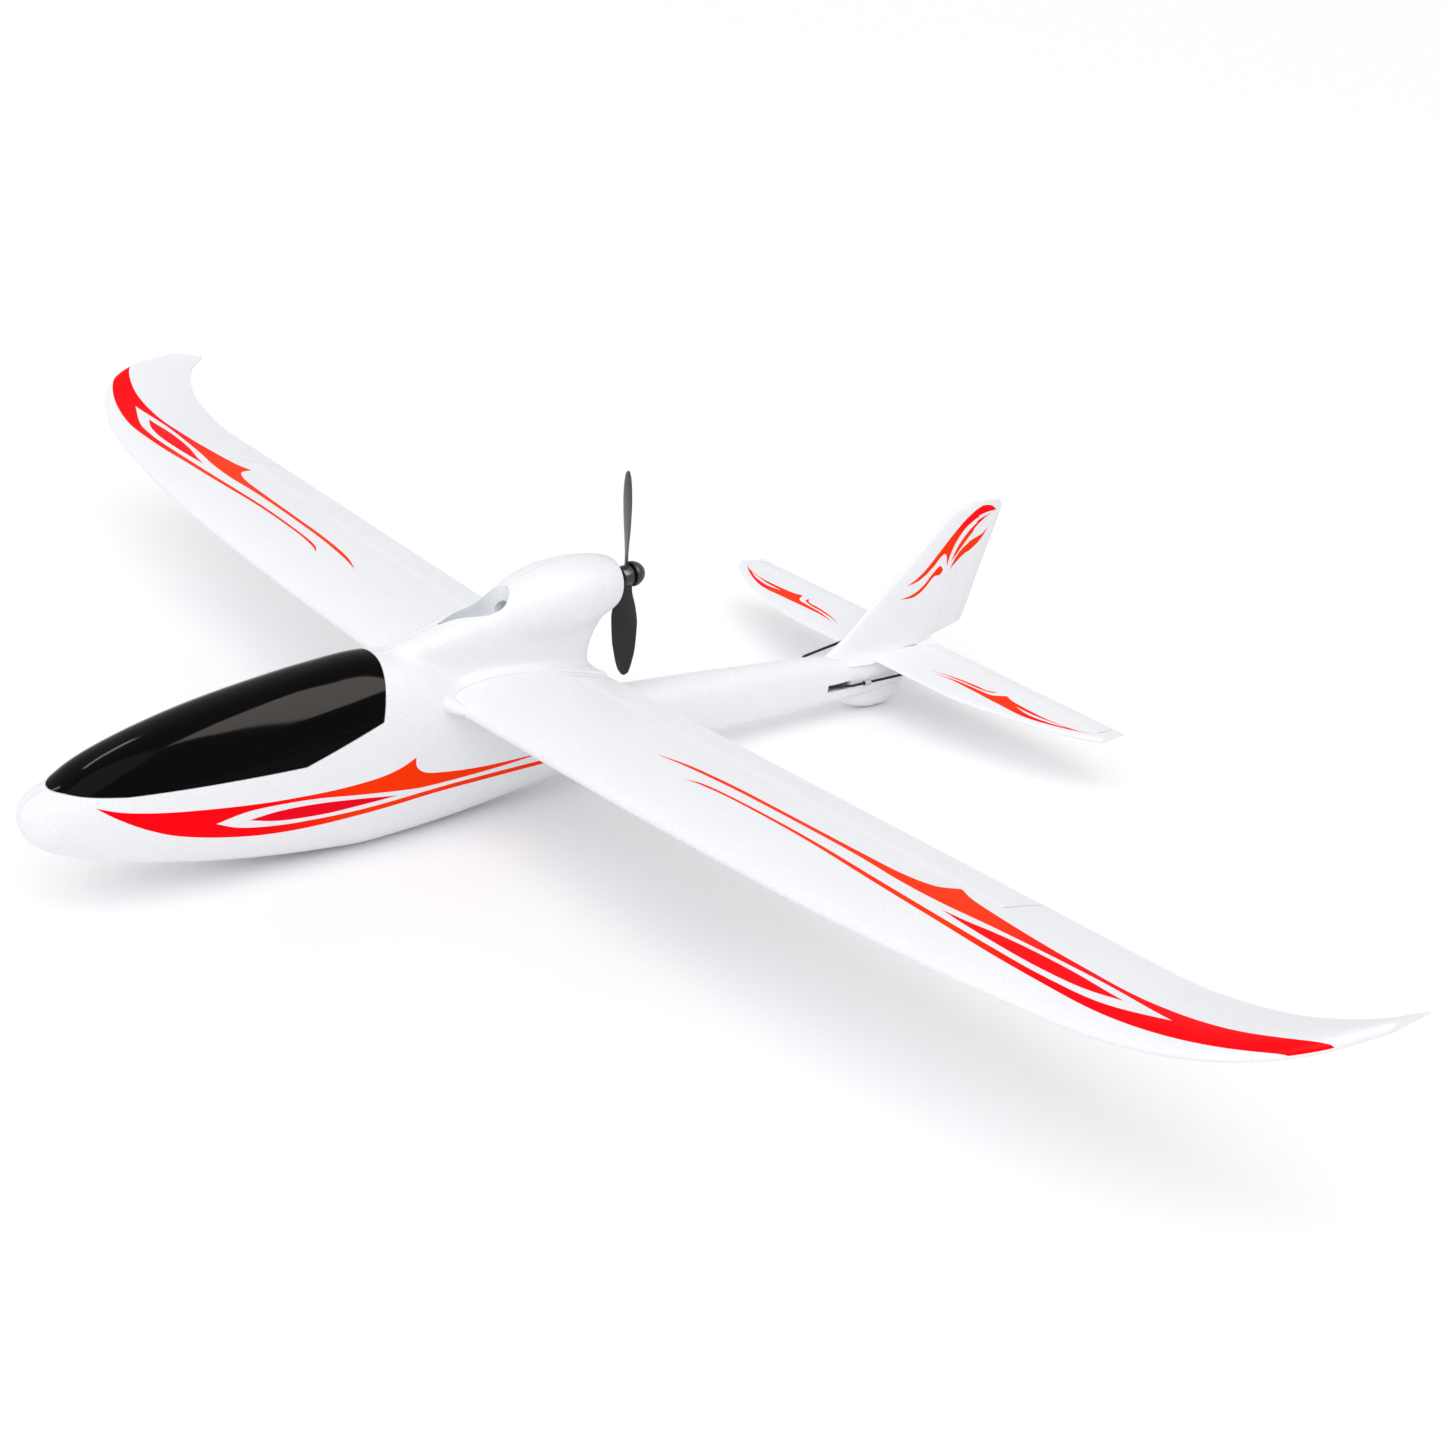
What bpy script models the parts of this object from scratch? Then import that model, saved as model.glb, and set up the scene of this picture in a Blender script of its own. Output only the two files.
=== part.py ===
"""A small foam pusher glider for radio control, in metres, +Z up.

It stands on its belly and its tail skid. The nose points along -Y, +X is the aircraft's left side,
and the origin is on the ground under the middle of the outline. All sizes below are in millimetres,
and a station is a distance behind the nose tip.
"""

import math

import bmesh
import bpy
from mathutils import Matrix, Vector

mm = 0.001

# Overall sizes
halfSpan = 390.0
tailStation = 436.0  # leading edge of the tailplane at its root
finRise = 69.0  # from the rudder's foot to its top, along Z
noseStart = 0.4  # station of the nose's flat tip

# Clearances
gap = 0.3  # between pieces that touch or sit in a pocket
runGap = 0.45  # round a piece that turns
slotGap = 1.6  # round a pushrod that slides in its slot

# Fuselage
wall = 3.0
boomWall = 1.9
wingStation = 171.0  # leading edge of the wing at its root
podEnd = 264.0  # the rear face of the motor pod
canopyFront = 14.0
canopyRear = 140.0
canopySill = 48.5  # height of the hatch's lower edge

# Wing
rootChord = 84.0
rootX = 15.0  # where a panel meets the saddle
wingHeight = 54.8  # the chord line at the trailing edge, on the centre line
incidence = 0.040  # rise of the chord line from the trailing edge forward
dihedral = 0.040  # rise of the wing outboard
tipCurl = 17.0  # how far the tip turns up
curlStart = 312.0
wingThickness = 0.125
aileronChord = 23.0
aileronInner = 20.0
aileronOuter = 259.0

# Tail
tailHeight = 29.0
tailHalfSpan = 128.0
tailChord = 48.5
tailThickness = 4.4
elevatorChord = 13.0
rudderChord = 19.5
rudderFoot = 33.0
rudderRake = 0.3406  # backward lean of the rudder's hinge line
rudderTopShare = 0.97  # the rudder's furthest point, as a share of its height
rudderTopChord = 15.0

# Motor and propeller
thrustTilt = math.radians(6.0)
hubStation = 272.0
propRadius = 48.0
hubHeight = propRadius + 46.5  # keeps the lower blade clear of the boom
motorRadius = 7.8
motorLength = 17.0
shaftRadius = 1.0
spinnerRadius = 5.6
leadRadius = 1.4

# Radio gear
servoLength = 20.0
servoWidth = 8.4
servoHeight = 14.5
flapServoWidth = 7.0
flapServoHeight = 14.0
flapServoLength = 18.0
armRadius = 10.0
flapArmRadius = 9.0
rodRadius = 0.7
batteryLength = 48.0
batteryWidth = 25.0
batteryHeight = 13.0
armStand = 2.2  # from the tip of a servo's boss to the middle of its arm
hookReach = 1.9  # how far beside an arm or a horn a pushrod runs
hookOver = 3.4  # how far a pushrod's hook runs back through it
bossHeight = 3.0
strapThick = 0.9
joinerRadius = 2.0
joinerReach = 78.0
pinRadius = 1.5
magnetRadius = 3.0
magnetThick = 2.0
hatchWall = 2.2
screwRadius = 1.2
screwHead = 2.4


def removeAll():
    for obj in list(bpy.data.objects):
        bpy.data.objects.remove(obj, do_unlink=True)


removeAll()
tailReach = tailStation + tailChord + rudderTopShare * finRise * rudderRake + rudderTopChord
midStation = (noseStart + tailReach) / 2.0


def at(x, station, z):
    """A point given by its distance left, its station and its height."""
    return Vector((x * mm, (station - midStation) * mm, z * mm))


# Materials

def material(name, colour, roughness, metallic=0.0):
    mat = bpy.data.materials.new(name)
    mat.use_nodes = True
    shader = mat.node_tree.nodes["Principled BSDF"]
    shader.inputs["Base Color"].default_value = (*colour, 1.0)
    shader.inputs["Roughness"].default_value = roughness
    shader.inputs["Metallic"].default_value = metallic
    return mat


foam = material("white foam", (0.86, 0.87, 0.89), 0.55)
blackGloss = material("black canopy plastic", (0.01, 0.01, 0.011), 0.12)
blackPlastic = material("black plastic", (0.02, 0.02, 0.022), 0.4)
servoPlastic = material("servo plastic", (0.03, 0.05, 0.12), 0.35)
whitePlastic = material("white plastic", (0.75, 0.75, 0.75), 0.4)
steel = material("steel", (0.35, 0.35, 0.36), 0.35, 1.0)
darkSteel = material("dark steel wire", (0.06, 0.06, 0.065), 0.4, 1.0)
aluminium = material("aluminium", (0.7, 0.7, 0.72), 0.35, 1.0)
carbon = material("carbon tube", (0.03, 0.03, 0.03), 0.45)
batteryWrap = material("battery wrap", (0.05, 0.16, 0.42), 0.4)
webbing = material("hook and loop strap", (0.03, 0.03, 0.03), 0.9)
board = material("circuit board", (0.02, 0.2, 0.1), 0.5)
rubber = material("lead sleeve", (0.03, 0.03, 0.03), 0.6)


# Mesh helpers

def makeObject(name, bm, mat=None):
    bmesh.ops.recalc_face_normals(bm, faces=bm.faces)
    mesh = bpy.data.meshes.new(name)
    bm.to_mesh(mesh)
    bm.free()
    obj = bpy.data.objects.new(name, mesh)
    bpy.context.scene.collection.objects.link(obj)
    if mat:
        mesh.materials.append(mat)
    return obj


def loft(name, rings, mat=None):
    """Skins a list of rings with the same number of points and closes both ends."""
    bm = bmesh.new()
    rows = [[bm.verts.new(point) for point in ring] for ring in rings]
    count = len(rows[0])
    for near, far in zip(rows, rows[1:]):
        for i in range(count):
            j = (i + 1) % count
            bm.faces.new((near[i], near[j], far[j], far[i]))
    bm.faces.new(rows[0])
    bm.faces.new(rows[-1])
    return makeObject(name, bm, mat)


def axes(direction, side=Vector((1, 0, 0))):
    """Three unit vectors: across, along the given direction, and the third at right angles."""
    along = direction.normalized()
    if abs(side.dot(along)) > 0.9:
        side = Vector((0, 0, 1))
    across = (side - along * side.dot(along)).normalized()
    return across, along, across.cross(along)


def turned(name, start, direction, profile, mat=None, segments=24):
    """A solid of revolution: profile is a list of (distance along, radius) in millimetres."""
    across, along, up = axes(direction)
    rings = []
    for distance, radius in profile:
        ring = []
        for i in range(segments):
            angle = 2 * math.pi * i / segments
            spoke = across * math.cos(angle) + up * math.sin(angle)
            ring.append(start + along * distance * mm + spoke * radius * mm)
        rings.append(ring)
    return loft(name, rings, mat)


def rod(name, start, end, radius, mat=None, segments=16):
    span = (end - start).length / mm
    return turned(name, start, end - start, [(0, radius), (span, radius)], mat, segments)


def box(name, centre, size, mat=None, turn=None):
    """A box with its sizes in millimetres, turned by a 3x3 matrix about its own centre."""
    bm = bmesh.new()
    bmesh.ops.create_cube(bm, size=1.0)
    scale = Matrix.Diagonal((size[0] * mm, size[1] * mm, size[2] * mm, 1.0))
    spin = turn.to_4x4() if turn else Matrix.Identity(4)
    bmesh.ops.transform(bm, matrix=Matrix.Translation(centre) @ spin @ scale, verts=bm.verts)
    return makeObject(name, bm, mat)


def span(name, low, high, mat=None):
    """A box between two corners given as (x, station, z)."""
    a, b = at(*low), at(*high)
    size = [abs(b[i] - a[i]) / mm for i in range(3)]
    return box(name, (a + b) / 2, size, mat)


def roundedBox(name, centre, size, radius, mat=None, turn=None):
    obj = box(name, centre, size, mat, turn)
    bevel = obj.modifiers.new("edges", "BEVEL")
    bevel.width = radius * mm
    bevel.segments = 2
    settle(obj)
    return obj


def tube(name, points, radius, mat=None, sides=10):
    """A bent wire through a list of points, with mitred corners and flat ends."""
    rings = []
    normal = None
    for i, point in enumerate(points):
        before = (point - points[i - 1]).normalized() if i else None
        after = (points[i + 1] - point).normalized() if i + 1 < len(points) else None
        along = ((before or after) + (after or before)).normalized()
        if normal is None:
            normal = axes(along, Vector((0.31, 0.05, 0.95)))[0]
        else:
            normal = (normal - along * normal.dot(along)).normalized()
        other = along.cross(normal)
        bend = (after - before) if before and after else Vector()
        bend = (bend - along * bend.dot(along)).normalized()
        widen = 1.0 / max(0.5, along.dot(before or after))
        ring = []
        for k in range(sides):
            angle = 2 * math.pi * k / sides
            spoke = normal * math.cos(angle) + other * math.sin(angle)
            spoke += bend * spoke.dot(bend) * (widen - 1.0)
            ring.append(point + spoke * radius * mm)
        rings.append(ring)
    return loft(name, rings, mat)


def settle(obj):
    """Replaces an object's mesh by its evaluated mesh and drops its modifiers."""
    graph = bpy.context.evaluated_depsgraph_get()
    graph.update()
    mesh = bpy.data.meshes.new_from_object(obj.evaluated_get(graph))
    obj.modifiers.clear()
    obj.data = mesh


def combine(obj, others, operation, solver="EXACT"):
    """Joins to, cuts from or keeps in common with each of the other solids, which it uses up."""
    for other in others:
        step = obj.modifiers.new(operation, "BOOLEAN")
        step.operation = operation
        step.solver = solver
        step.object = other
        settle(obj)
        bpy.data.objects.remove(other, do_unlink=True)
    return obj


def join(obj, *others):
    return combine(obj, others, "UNION")


def cut(obj, *others):
    return combine(obj, others, "DIFFERENCE")


def keep(obj, *others):
    return combine(obj, others, "INTERSECT")


def copyOf(obj, name):
    twin = obj.copy()
    twin.data = obj.data.copy()
    twin.name = name
    bpy.context.scene.collection.objects.link(twin)
    return twin


def finish(obj, mat, sharp=35):
    """Gives a finished piece its only material and its smooth shading."""
    obj.data.materials.clear()
    obj.data.materials.append(mat)
    for face in obj.data.polygons:
        face.material_index = 0
        face.use_smooth = True
    obj.data.set_sharp_from_angle(angle=math.radians(sharp))
    return obj


def setOrigin(obj, point):
    """Moves an object's origin to a point without moving its shape."""
    shift = Matrix.Translation(point)
    obj.data.transform(shift.inverted())
    obj.matrix_world = shift


def smooth(points, t):
    """A smooth curve through rows (t, a, b, ...): Hermite pieces with limited slopes."""
    last = len(points) - 1
    if t <= points[0][0]:
        return points[0][1:]
    if t >= points[last][0]:
        return points[last][1:]
    i = next(k for k in range(last) if points[k + 1][0] >= t)
    x0, x1 = points[i][0], points[i + 1][0]
    u = (t - x0) / (x1 - x0)
    values = []
    for c in range(1, len(points[0])):
        slopes = []
        for k in (i, i + 1):
            sides = []
            for a, b in ((k - 1, k), (k, k + 1)):
                if a >= 0 and b <= last:
                    sides.append((points[b][c] - points[a][c]) / (points[b][0] - points[a][0]))
            if len(sides) == 1:
                slopes.append(sides[0])
            elif sides[0] * sides[1] <= 0:
                slopes.append(0.0)
            else:
                slopes.append(2 * sides[0] * sides[1] / (sides[0] + sides[1]))
        y0, y1 = points[i][c], points[i + 1][c]
        h = x1 - x0
        values.append(
            y0 * (1 + 2 * u) * (1 - u) ** 2
            + slopes[0] * h * u * (1 - u) ** 2
            + y1 * u * u * (3 - 2 * u)
            + slopes[1] * h * u * u * (u - 1)
        )
    return values


# The wing's shape

def wingPlan(x):
    """Leading and trailing edge stations and the height of the chord line's rear end at x."""
    t = (x - rootX) / (halfSpan - rootX)
    lead = smooth(
        [(0, 0), (0.25, 0.8), (0.5, 4.5), (0.66, 11), (0.77, 18), (0.86, 26),
         (0.91, 33), (0.95, 43), (0.98, 58), (1.0, 82)], t)[0]
    trail = smooth([(0, 0), (0.8, 0), (0.91, 2.5), (0.95, 7), (0.98, 14), (1.0, 23.5)], t)[0]
    over = max(0.0, (x - curlStart * halfSpan / 390.0) / (halfSpan * 0.2))
    rise = dihedral * x + tipCurl * over * over
    return wingStation + lead, wingStation + rootChord + trail, wingHeight + rise


def foilHalf(u, chord):
    """Half the section's thickness at a share u of the chord."""
    shape = 0.2969 * math.sqrt(u) - 0.126 * u - 0.3516 * u**2 + 0.2843 * u**3 - 0.1015 * u**4
    return 5 * wingThickness * shape * chord + 0.45 * u


def foilCamber(u, chord):
    crest = 0.4
    lift = 0.035
    if u < crest:
        return chord * lift / crest**2 * (2 * crest * u - u * u)
    return chord * lift / (1 - crest) ** 2 * (1 - 2 * crest + 2 * crest * u - u * u)


def wingPoint(x, u, side, grow=0.0):
    """A point on the wing's skin: u along the chord, side +1 on top and -1 below."""
    lead, trail, rear = wingPlan(x)
    chord = trail - lead
    z = rear + incidence * chord * (1 - u) + foilCamber(u, chord)
    z += side * (foilHalf(u, chord) + grow)
    return x, lead + u * chord, z


foilSteps = [0.0, 0.012, 0.045, 0.1, 0.2, 0.34, 0.5, 0.66, 0.83, 1.0]


def wingRing(x, mirror=1, grow=0.0):
    """One closed section of the wing at x, from the trailing edge over the top and back below."""
    ring = []
    for u in reversed(foilSteps):
        px, station, z = wingPoint(x, u, 1, grow)
        shift = grow if u > 0.9 else (-grow if u < 0.01 else 0.0)
        ring.append(at(mirror * px, station + shift, z))
    for u in foilSteps[1:]:
        px, station, z = wingPoint(x, u, -1, grow)
        shift = grow if u > 0.9 else 0.0
        ring.append(at(mirror * px, station + shift, z))
    return ring


def wingMid(x, station):
    """The height of the wing's camber line at a place."""
    lead, trail, rear = wingPlan(x)
    chord = trail - lead
    u = (station - lead) / chord
    return rear + incidence * chord * (1 - u) + foilCamber(u, chord)


aileronHinge = wingStation + rootChord - aileronChord
aileronHalf = foilHalf(1 - aileronChord / rootChord, rootChord)


def aileronAxis(mirror):
    """The inner and the outer end of the aileron's hinge line."""
    inner = at(mirror * aileronInner, aileronHinge, wingMid(aileronInner, aileronHinge))
    outer = at(mirror * aileronOuter, aileronHinge, wingMid(aileronOuter, aileronHinge))
    return inner, outer


# The fuselage's shape

boomStart = 279.0
boomRun = tailStation + 4.0 - boomStart


def boomAt(share):
    return boomStart + boomRun * share


bodyRows = [  # station, lowest height, top height, half width, height of the widest point
    (noseStart, 36.5, 43.0, 3.2, 40.0),
    (3.0, 31.0, 46.5, 7.6, 39.5),
    (8.0, 26.5, 49.2, 11.2, 39.0),
    (14.0, 23.4, 51.5, 13.6, 38.5),
    (22.0, 20.2, 56.5, 15.8, 38.5),
    (31.0, 17.0, 60.5, 17.8, 38.0),
    (50.0, 12.4, 66.5, 20.6, 37.5),
    (70.0, 8.0, 71.3, 22.6, 37.0),
    (96.0, 3.6, 75.8, 24.0, 36.5),
    (120.0, 0.6, 79.0, 24.4, 36.0),
    (140.0, -1.2, 80.6, 24.0, 36.0),
    (158.0, -1.0, 79.0, 22.8, 36.5),
    (176.0, -0.2, 72.0, 21.4, 37.5),
    (198.0, 1.6, 62.5, 19.6, 37.0),
    (222.0, 4.4, 53.5, 17.4, 34.0),
    (250.0, 7.4, 45.5, 15.0, 29.0),
    (boomStart, 8.8, 41.0, 12.8, 25.5),
    (boomAt(0.25), 9.0, 39.0, 11.0, 24.0),
    (boomAt(0.5), 8.6, 36.4, 9.8, 22.5),
    (boomAt(0.75), 8.2, 33.6, 9.0, 21.0),
    (boomAt(0.9), 8.0, 31.4, 8.6, 20.0),
    (boomAt(1.0), 8.0, 31.2, 8.2, 19.6),
    (tailStation + 20, 9.0, 31.0, 7.4, 20.0),
    (tailStation + 28, 13.0, 30.0, 6.4, 21.5),
]
bodyStations = [
    noseStart, 3, 7.5, 13, 21, 31, 42, 56, 72, 90, 108, 126, 138.6, 152.7, 166, 182, 198, 214, 232, 250,
    boomStart, boomAt(0.25), boomAt(0.5), boomAt(0.7), boomAt(0.82), boomAt(1.0),
    tailStation + 14, tailStation + 22, tailStation + 28,
]
bodyPoints = 28


def bodyRing(station, inset=0.0, power=2.25):
    """One closed section of the fuselage: an egg that is widest below its middle."""
    low, top, half, wide = smooth(bodyRows, station)
    low, top, half = low + inset, top - inset, half - inset
    ring = []
    for i in range(bodyPoints):
        angle = 2 * math.pi * i / bodyPoints
        c, s = math.cos(angle), math.sin(angle)
        reach = (top - wide) if s > 0 else (wide - low)
        x = half * math.copysign(abs(c) ** (2 / power), c)
        z = wide + reach * math.copysign(abs(s) ** (2 / power), s)
        ring.append(at(x, station, z))
    return ring


def motorAxis(distance):
    """A point on the thrust line, measured forward of the propeller's hub."""
    back = Vector((0, math.cos(thrustTilt), math.sin(thrustTilt)))
    return at(0, hubStation, hubHeight) - back * distance * mm


thrust = Vector((0, math.cos(thrustTilt), math.sin(thrustTilt)))


def podSolid(name):
    """The motor pod: round sections that swell from the spine to the motor."""
    rows = [  # station, depth of the centre below the hub, radius beyond the motor's
        (183, 13.0, -4.8), (189, 12.0, -1.6), (198, 9.9, 1.2), (208, 7.5, 4.4),
        (218, 5.5, 7.0), (229, 4.3, 8.6), (240, 3.3, 8.5), (250, 2.3, 7.2),
        (257, 1.6, 5.6), (262, 1.1, 4.0), (podEnd, 0.8, 3.1),
    ]
    rings = []
    for station, depth, beyond in rows:
        ring = []
        radius = motorRadius + beyond
        z = hubHeight - depth
        for i in range(24):
            angle = 2 * math.pi * i / 24
            ring.append(at(radius * math.cos(angle), station, z + radius * math.sin(angle)))
        rings.append(ring)
    return loft(name, rings)


def neckSolid(name):
    """The pylon between the fuselage and the pod, as level sections."""
    foot, top = 40.0, hubHeight - 4.5
    rows = [  # share of the height, front station, rear station, half width
        (0.0, 148, 257, 14.0), (0.24, 148, 254.5, 12.5), (0.4, 148, 253, 11.0), (0.56, 148, 254, 9.8),
        (0.7, 150, 257, 9.4), (0.8, 153, 260, 9.2), (0.88, 164, 261, 8.6), (0.94, 175, 261, 7.6),
        (1.0, 185, 260, 6.4),
    ]
    rings = []
    for share, front, rear, half in rows:
        ring = []
        z = foot + share * (top - foot)
        for i in range(32):
            angle = 2 * math.pi * i / 32
            c, s = math.cos(angle), math.sin(angle)
            station = (front + rear) / 2 + (rear - front) / 2 * math.copysign(abs(c) ** 0.9, c)
            ring.append(at(half * math.copysign(abs(s) ** 0.62, s), station, z))
        rings.append(ring)
    return loft(name, rings)


def canopyBlock(name, trim):
    """The block of space that the hatch takes up; trim shrinks it on every side that meets foam."""
    rear = canopyRear - trim
    outline = [
        (canopyFront - 8, canopySill + trim + 1.5),
        (canopyFront + trim, canopySill + trim + 1.5),
        (canopyFront + 20, canopySill + trim), (rear - 37, canopySill + trim),
        (rear - 2, canopySill + 11 + trim), (rear + 8, 96), (canopyFront - 8, 96),
    ]
    rings = [[at(x, station, z) for station, z in outline] for x in (-40, 40)]
    return loft(name, rings)


def hollow(name, front, rear, inset, boomInset):
    """The fuselage's inside, from one station to another."""
    stations = [front] + [s for s in bodyStations if front + 3 < s < rear - 3] + [rear]
    rings = []
    for station in stations:
        share = min(1.0, max(0.0, (station - 230) / 40.0))
        rings.append(bodyRing(station, inset + (boomInset - inset) * share))
    return loft(name, rings)


# Wing panels and ailerons

wingXs = [0.0, 0.12, 0.28, 0.47, 0.62, 0.70, 0.78, 0.84, 0.89, 0.93, 0.965, 0.985, 1.0]
wingXs = [rootX + share * (halfSpan - rootX) for share in wingXs]
pinStation = aileronHinge - 15.0
joinerStation = wingStation + 24.0
flapServoX = 128.0
flapServoStation = aileronHinge - 28.0
flapServoDrop = 0.6  # how far the servo's axis lies below the camber line
flapPocketRise = 6.6  # room past the servo's boss for its arm


def wingSolid(name, mirror, inner, outer, grow=0.0):
    xs = [inner] + [x for x in wingXs if inner + 2 < x < outer - 2] + [outer]
    return loft(name, [wingRing(x, mirror, grow) for x in xs])


def joinerPoints(extra=0.0):
    """The joiner's centre line: level in the fuselage, then along each panel's dihedral."""
    reach = joinerReach + extra
    points = []
    for x in (-reach, -rootX, rootX, reach):
        rise = wingMid(rootX, joinerStation) + dihedral * (abs(x) - rootX)
        points.append(at(x, joinerStation, rise))
    return points


def spanwise(mirror):
    return Vector((mirror, 0, dihedral)).normalized()


def flapServoAxis(mirror):
    """Where the aileron servo's shaft axis crosses its arm."""
    height = wingMid(flapServoX, flapServoStation) - flapServoDrop
    return at(mirror * flapServoX, flapServoStation, height)


def hangDown(mirror):
    """The direction from a spanwise axis straight down to its pushrod's hole."""
    return Vector((mirror * dihedral, 0, -1)).normalized()


def servoSolid(name, shaft, shaftAxis, lengthAxis, size):
    """A small servo: case, two ears and the boss that its shaft comes out of. size is
    (length, width, height); shaft is the boss's tip and the case lies behind it."""
    long, wide, tall = size
    up = shaftAxis.normalized()
    along = (lengthAxis - up * lengthAxis.dot(up)).normalized()
    across = up.cross(along)
    turn = Matrix((along, across, up)).transposed()
    offset = long / 2 - wide / 2
    centre = shaft - up * (bossHeight + tall / 2) * mm - along * offset * mm
    case = box(name, centre, (long, wide, tall), None, turn)
    ears = box("ears", centre + up * (tall / 2 - 4.0) * mm, (long + 7, wide - 0.6, 1.4), None, turn)
    profile = [(0, wide * 0.42), (bossHeight, 2.2), (bossHeight + 1, 2.0)]
    neck = turned("boss", shaft - up * (bossHeight + 1) * mm, up, profile)
    return join(case, ears, neck)


def servoPocket(name, shaft, shaftAxis, lengthAxis, size, rise, clearance=gap):
    """The room for a servo and its ears, carried on past the shaft by rise."""
    long, wide, tall = size
    up = shaftAxis.normalized()
    along = (lengthAxis - up * lengthAxis.dot(up)).normalized()
    across = up.cross(along)
    turn = Matrix((along, across, up)).transposed()
    offset = long / 2 - wide / 2
    depth = tall + bossHeight + rise + 2 * clearance
    centre = shaft - along * offset * mm + up * (rise - depth / 2 + clearance) * mm
    return box(name, centre, (long + 7 + 2 * clearance, wide + 2 * clearance, depth), None, turn)


def armSolid(name, axisPoint, up, pointing, radius, thickness=1.4):
    """A servo arm: a hub on the shaft axis and a tapered lever with a hole at its end.
    axisPoint is on the axis at the middle of the lever's thickness."""
    side = up.cross(pointing).normalized()
    rings = []
    for h in (-thickness / 2, thickness / 2):
        ring = []
        for distance, half, count in ((0.0, 2.5, 7), (radius, 1.7, 7)):
            for i in range(count):
                angle = math.pi * i / (count - 1)
                if distance:
                    swing = angle - math.pi / 2
                else:
                    swing = angle + math.pi / 2
                offset = pointing * math.cos(swing) * half + side * math.sin(swing) * half
                ring.append(axisPoint + (pointing * distance + offset + up * h) * mm)
        rings.append(ring)
    arm = loft(name, rings)
    hub = turned("hub", axisPoint - up * 1.6 * mm, up, [(0, 2.6), (3.4, 2.6)], None, 16)
    middle = axisPoint + pointing * radius * mm
    hole = rod("hole", middle - up * 3 * mm, middle + up * 3 * mm, rodRadius + gap, None, 12)
    return cut(join(arm, hub), hole)


def hornSolid(name, foot, along, away, hole, base=7.0):
    """A control horn: a plate on a pad. foot is where the pad meets the surface, along lies in the
    surface across the hinge line, away points out of it, and hole is the pushrod's place."""
    thickness, padHeight = 1.2, 0.9
    normal = along.cross(away).normalized()
    across = (hole - foot).dot(along) / mm
    reach = (hole - foot).dot(away) / mm
    eye = 1.9  # half the width of the plate round the pushrod's hole
    outline = [(-base / 2, 0.0), (base / 2, 0.0)]
    outline += [(across + eye, reach), (across, reach + eye), (across - eye, reach)]
    rings = []
    for h in (-thickness / 2, thickness / 2):
        rings.append([foot + (along * a + away * d + normal * h) * mm for a, d in outline])
    plate = loft(name, rings)
    turn = Matrix((along, normal, away)).transposed()
    pad = box("pad", foot + away * padHeight / 2 * mm, (base + 1.5, 5.0, padHeight), None, turn)
    bore = rod("bore", hole - normal * 3 * mm, hole + normal * 3 * mm, rodRadius + gap, None, 12)
    return cut(join(plate, pad), bore)


def linkRod(name, points, hookAxis):
    """A pushrod with a hook at each end that passes through the arm or the horn."""
    hook = hookAxis * hookOver * mm
    path = [points[0] - hook] + list(points) + [points[-1] + hook]
    return finish(tube(name, path, rodRadius, None, 8), darkSteel)


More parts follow.
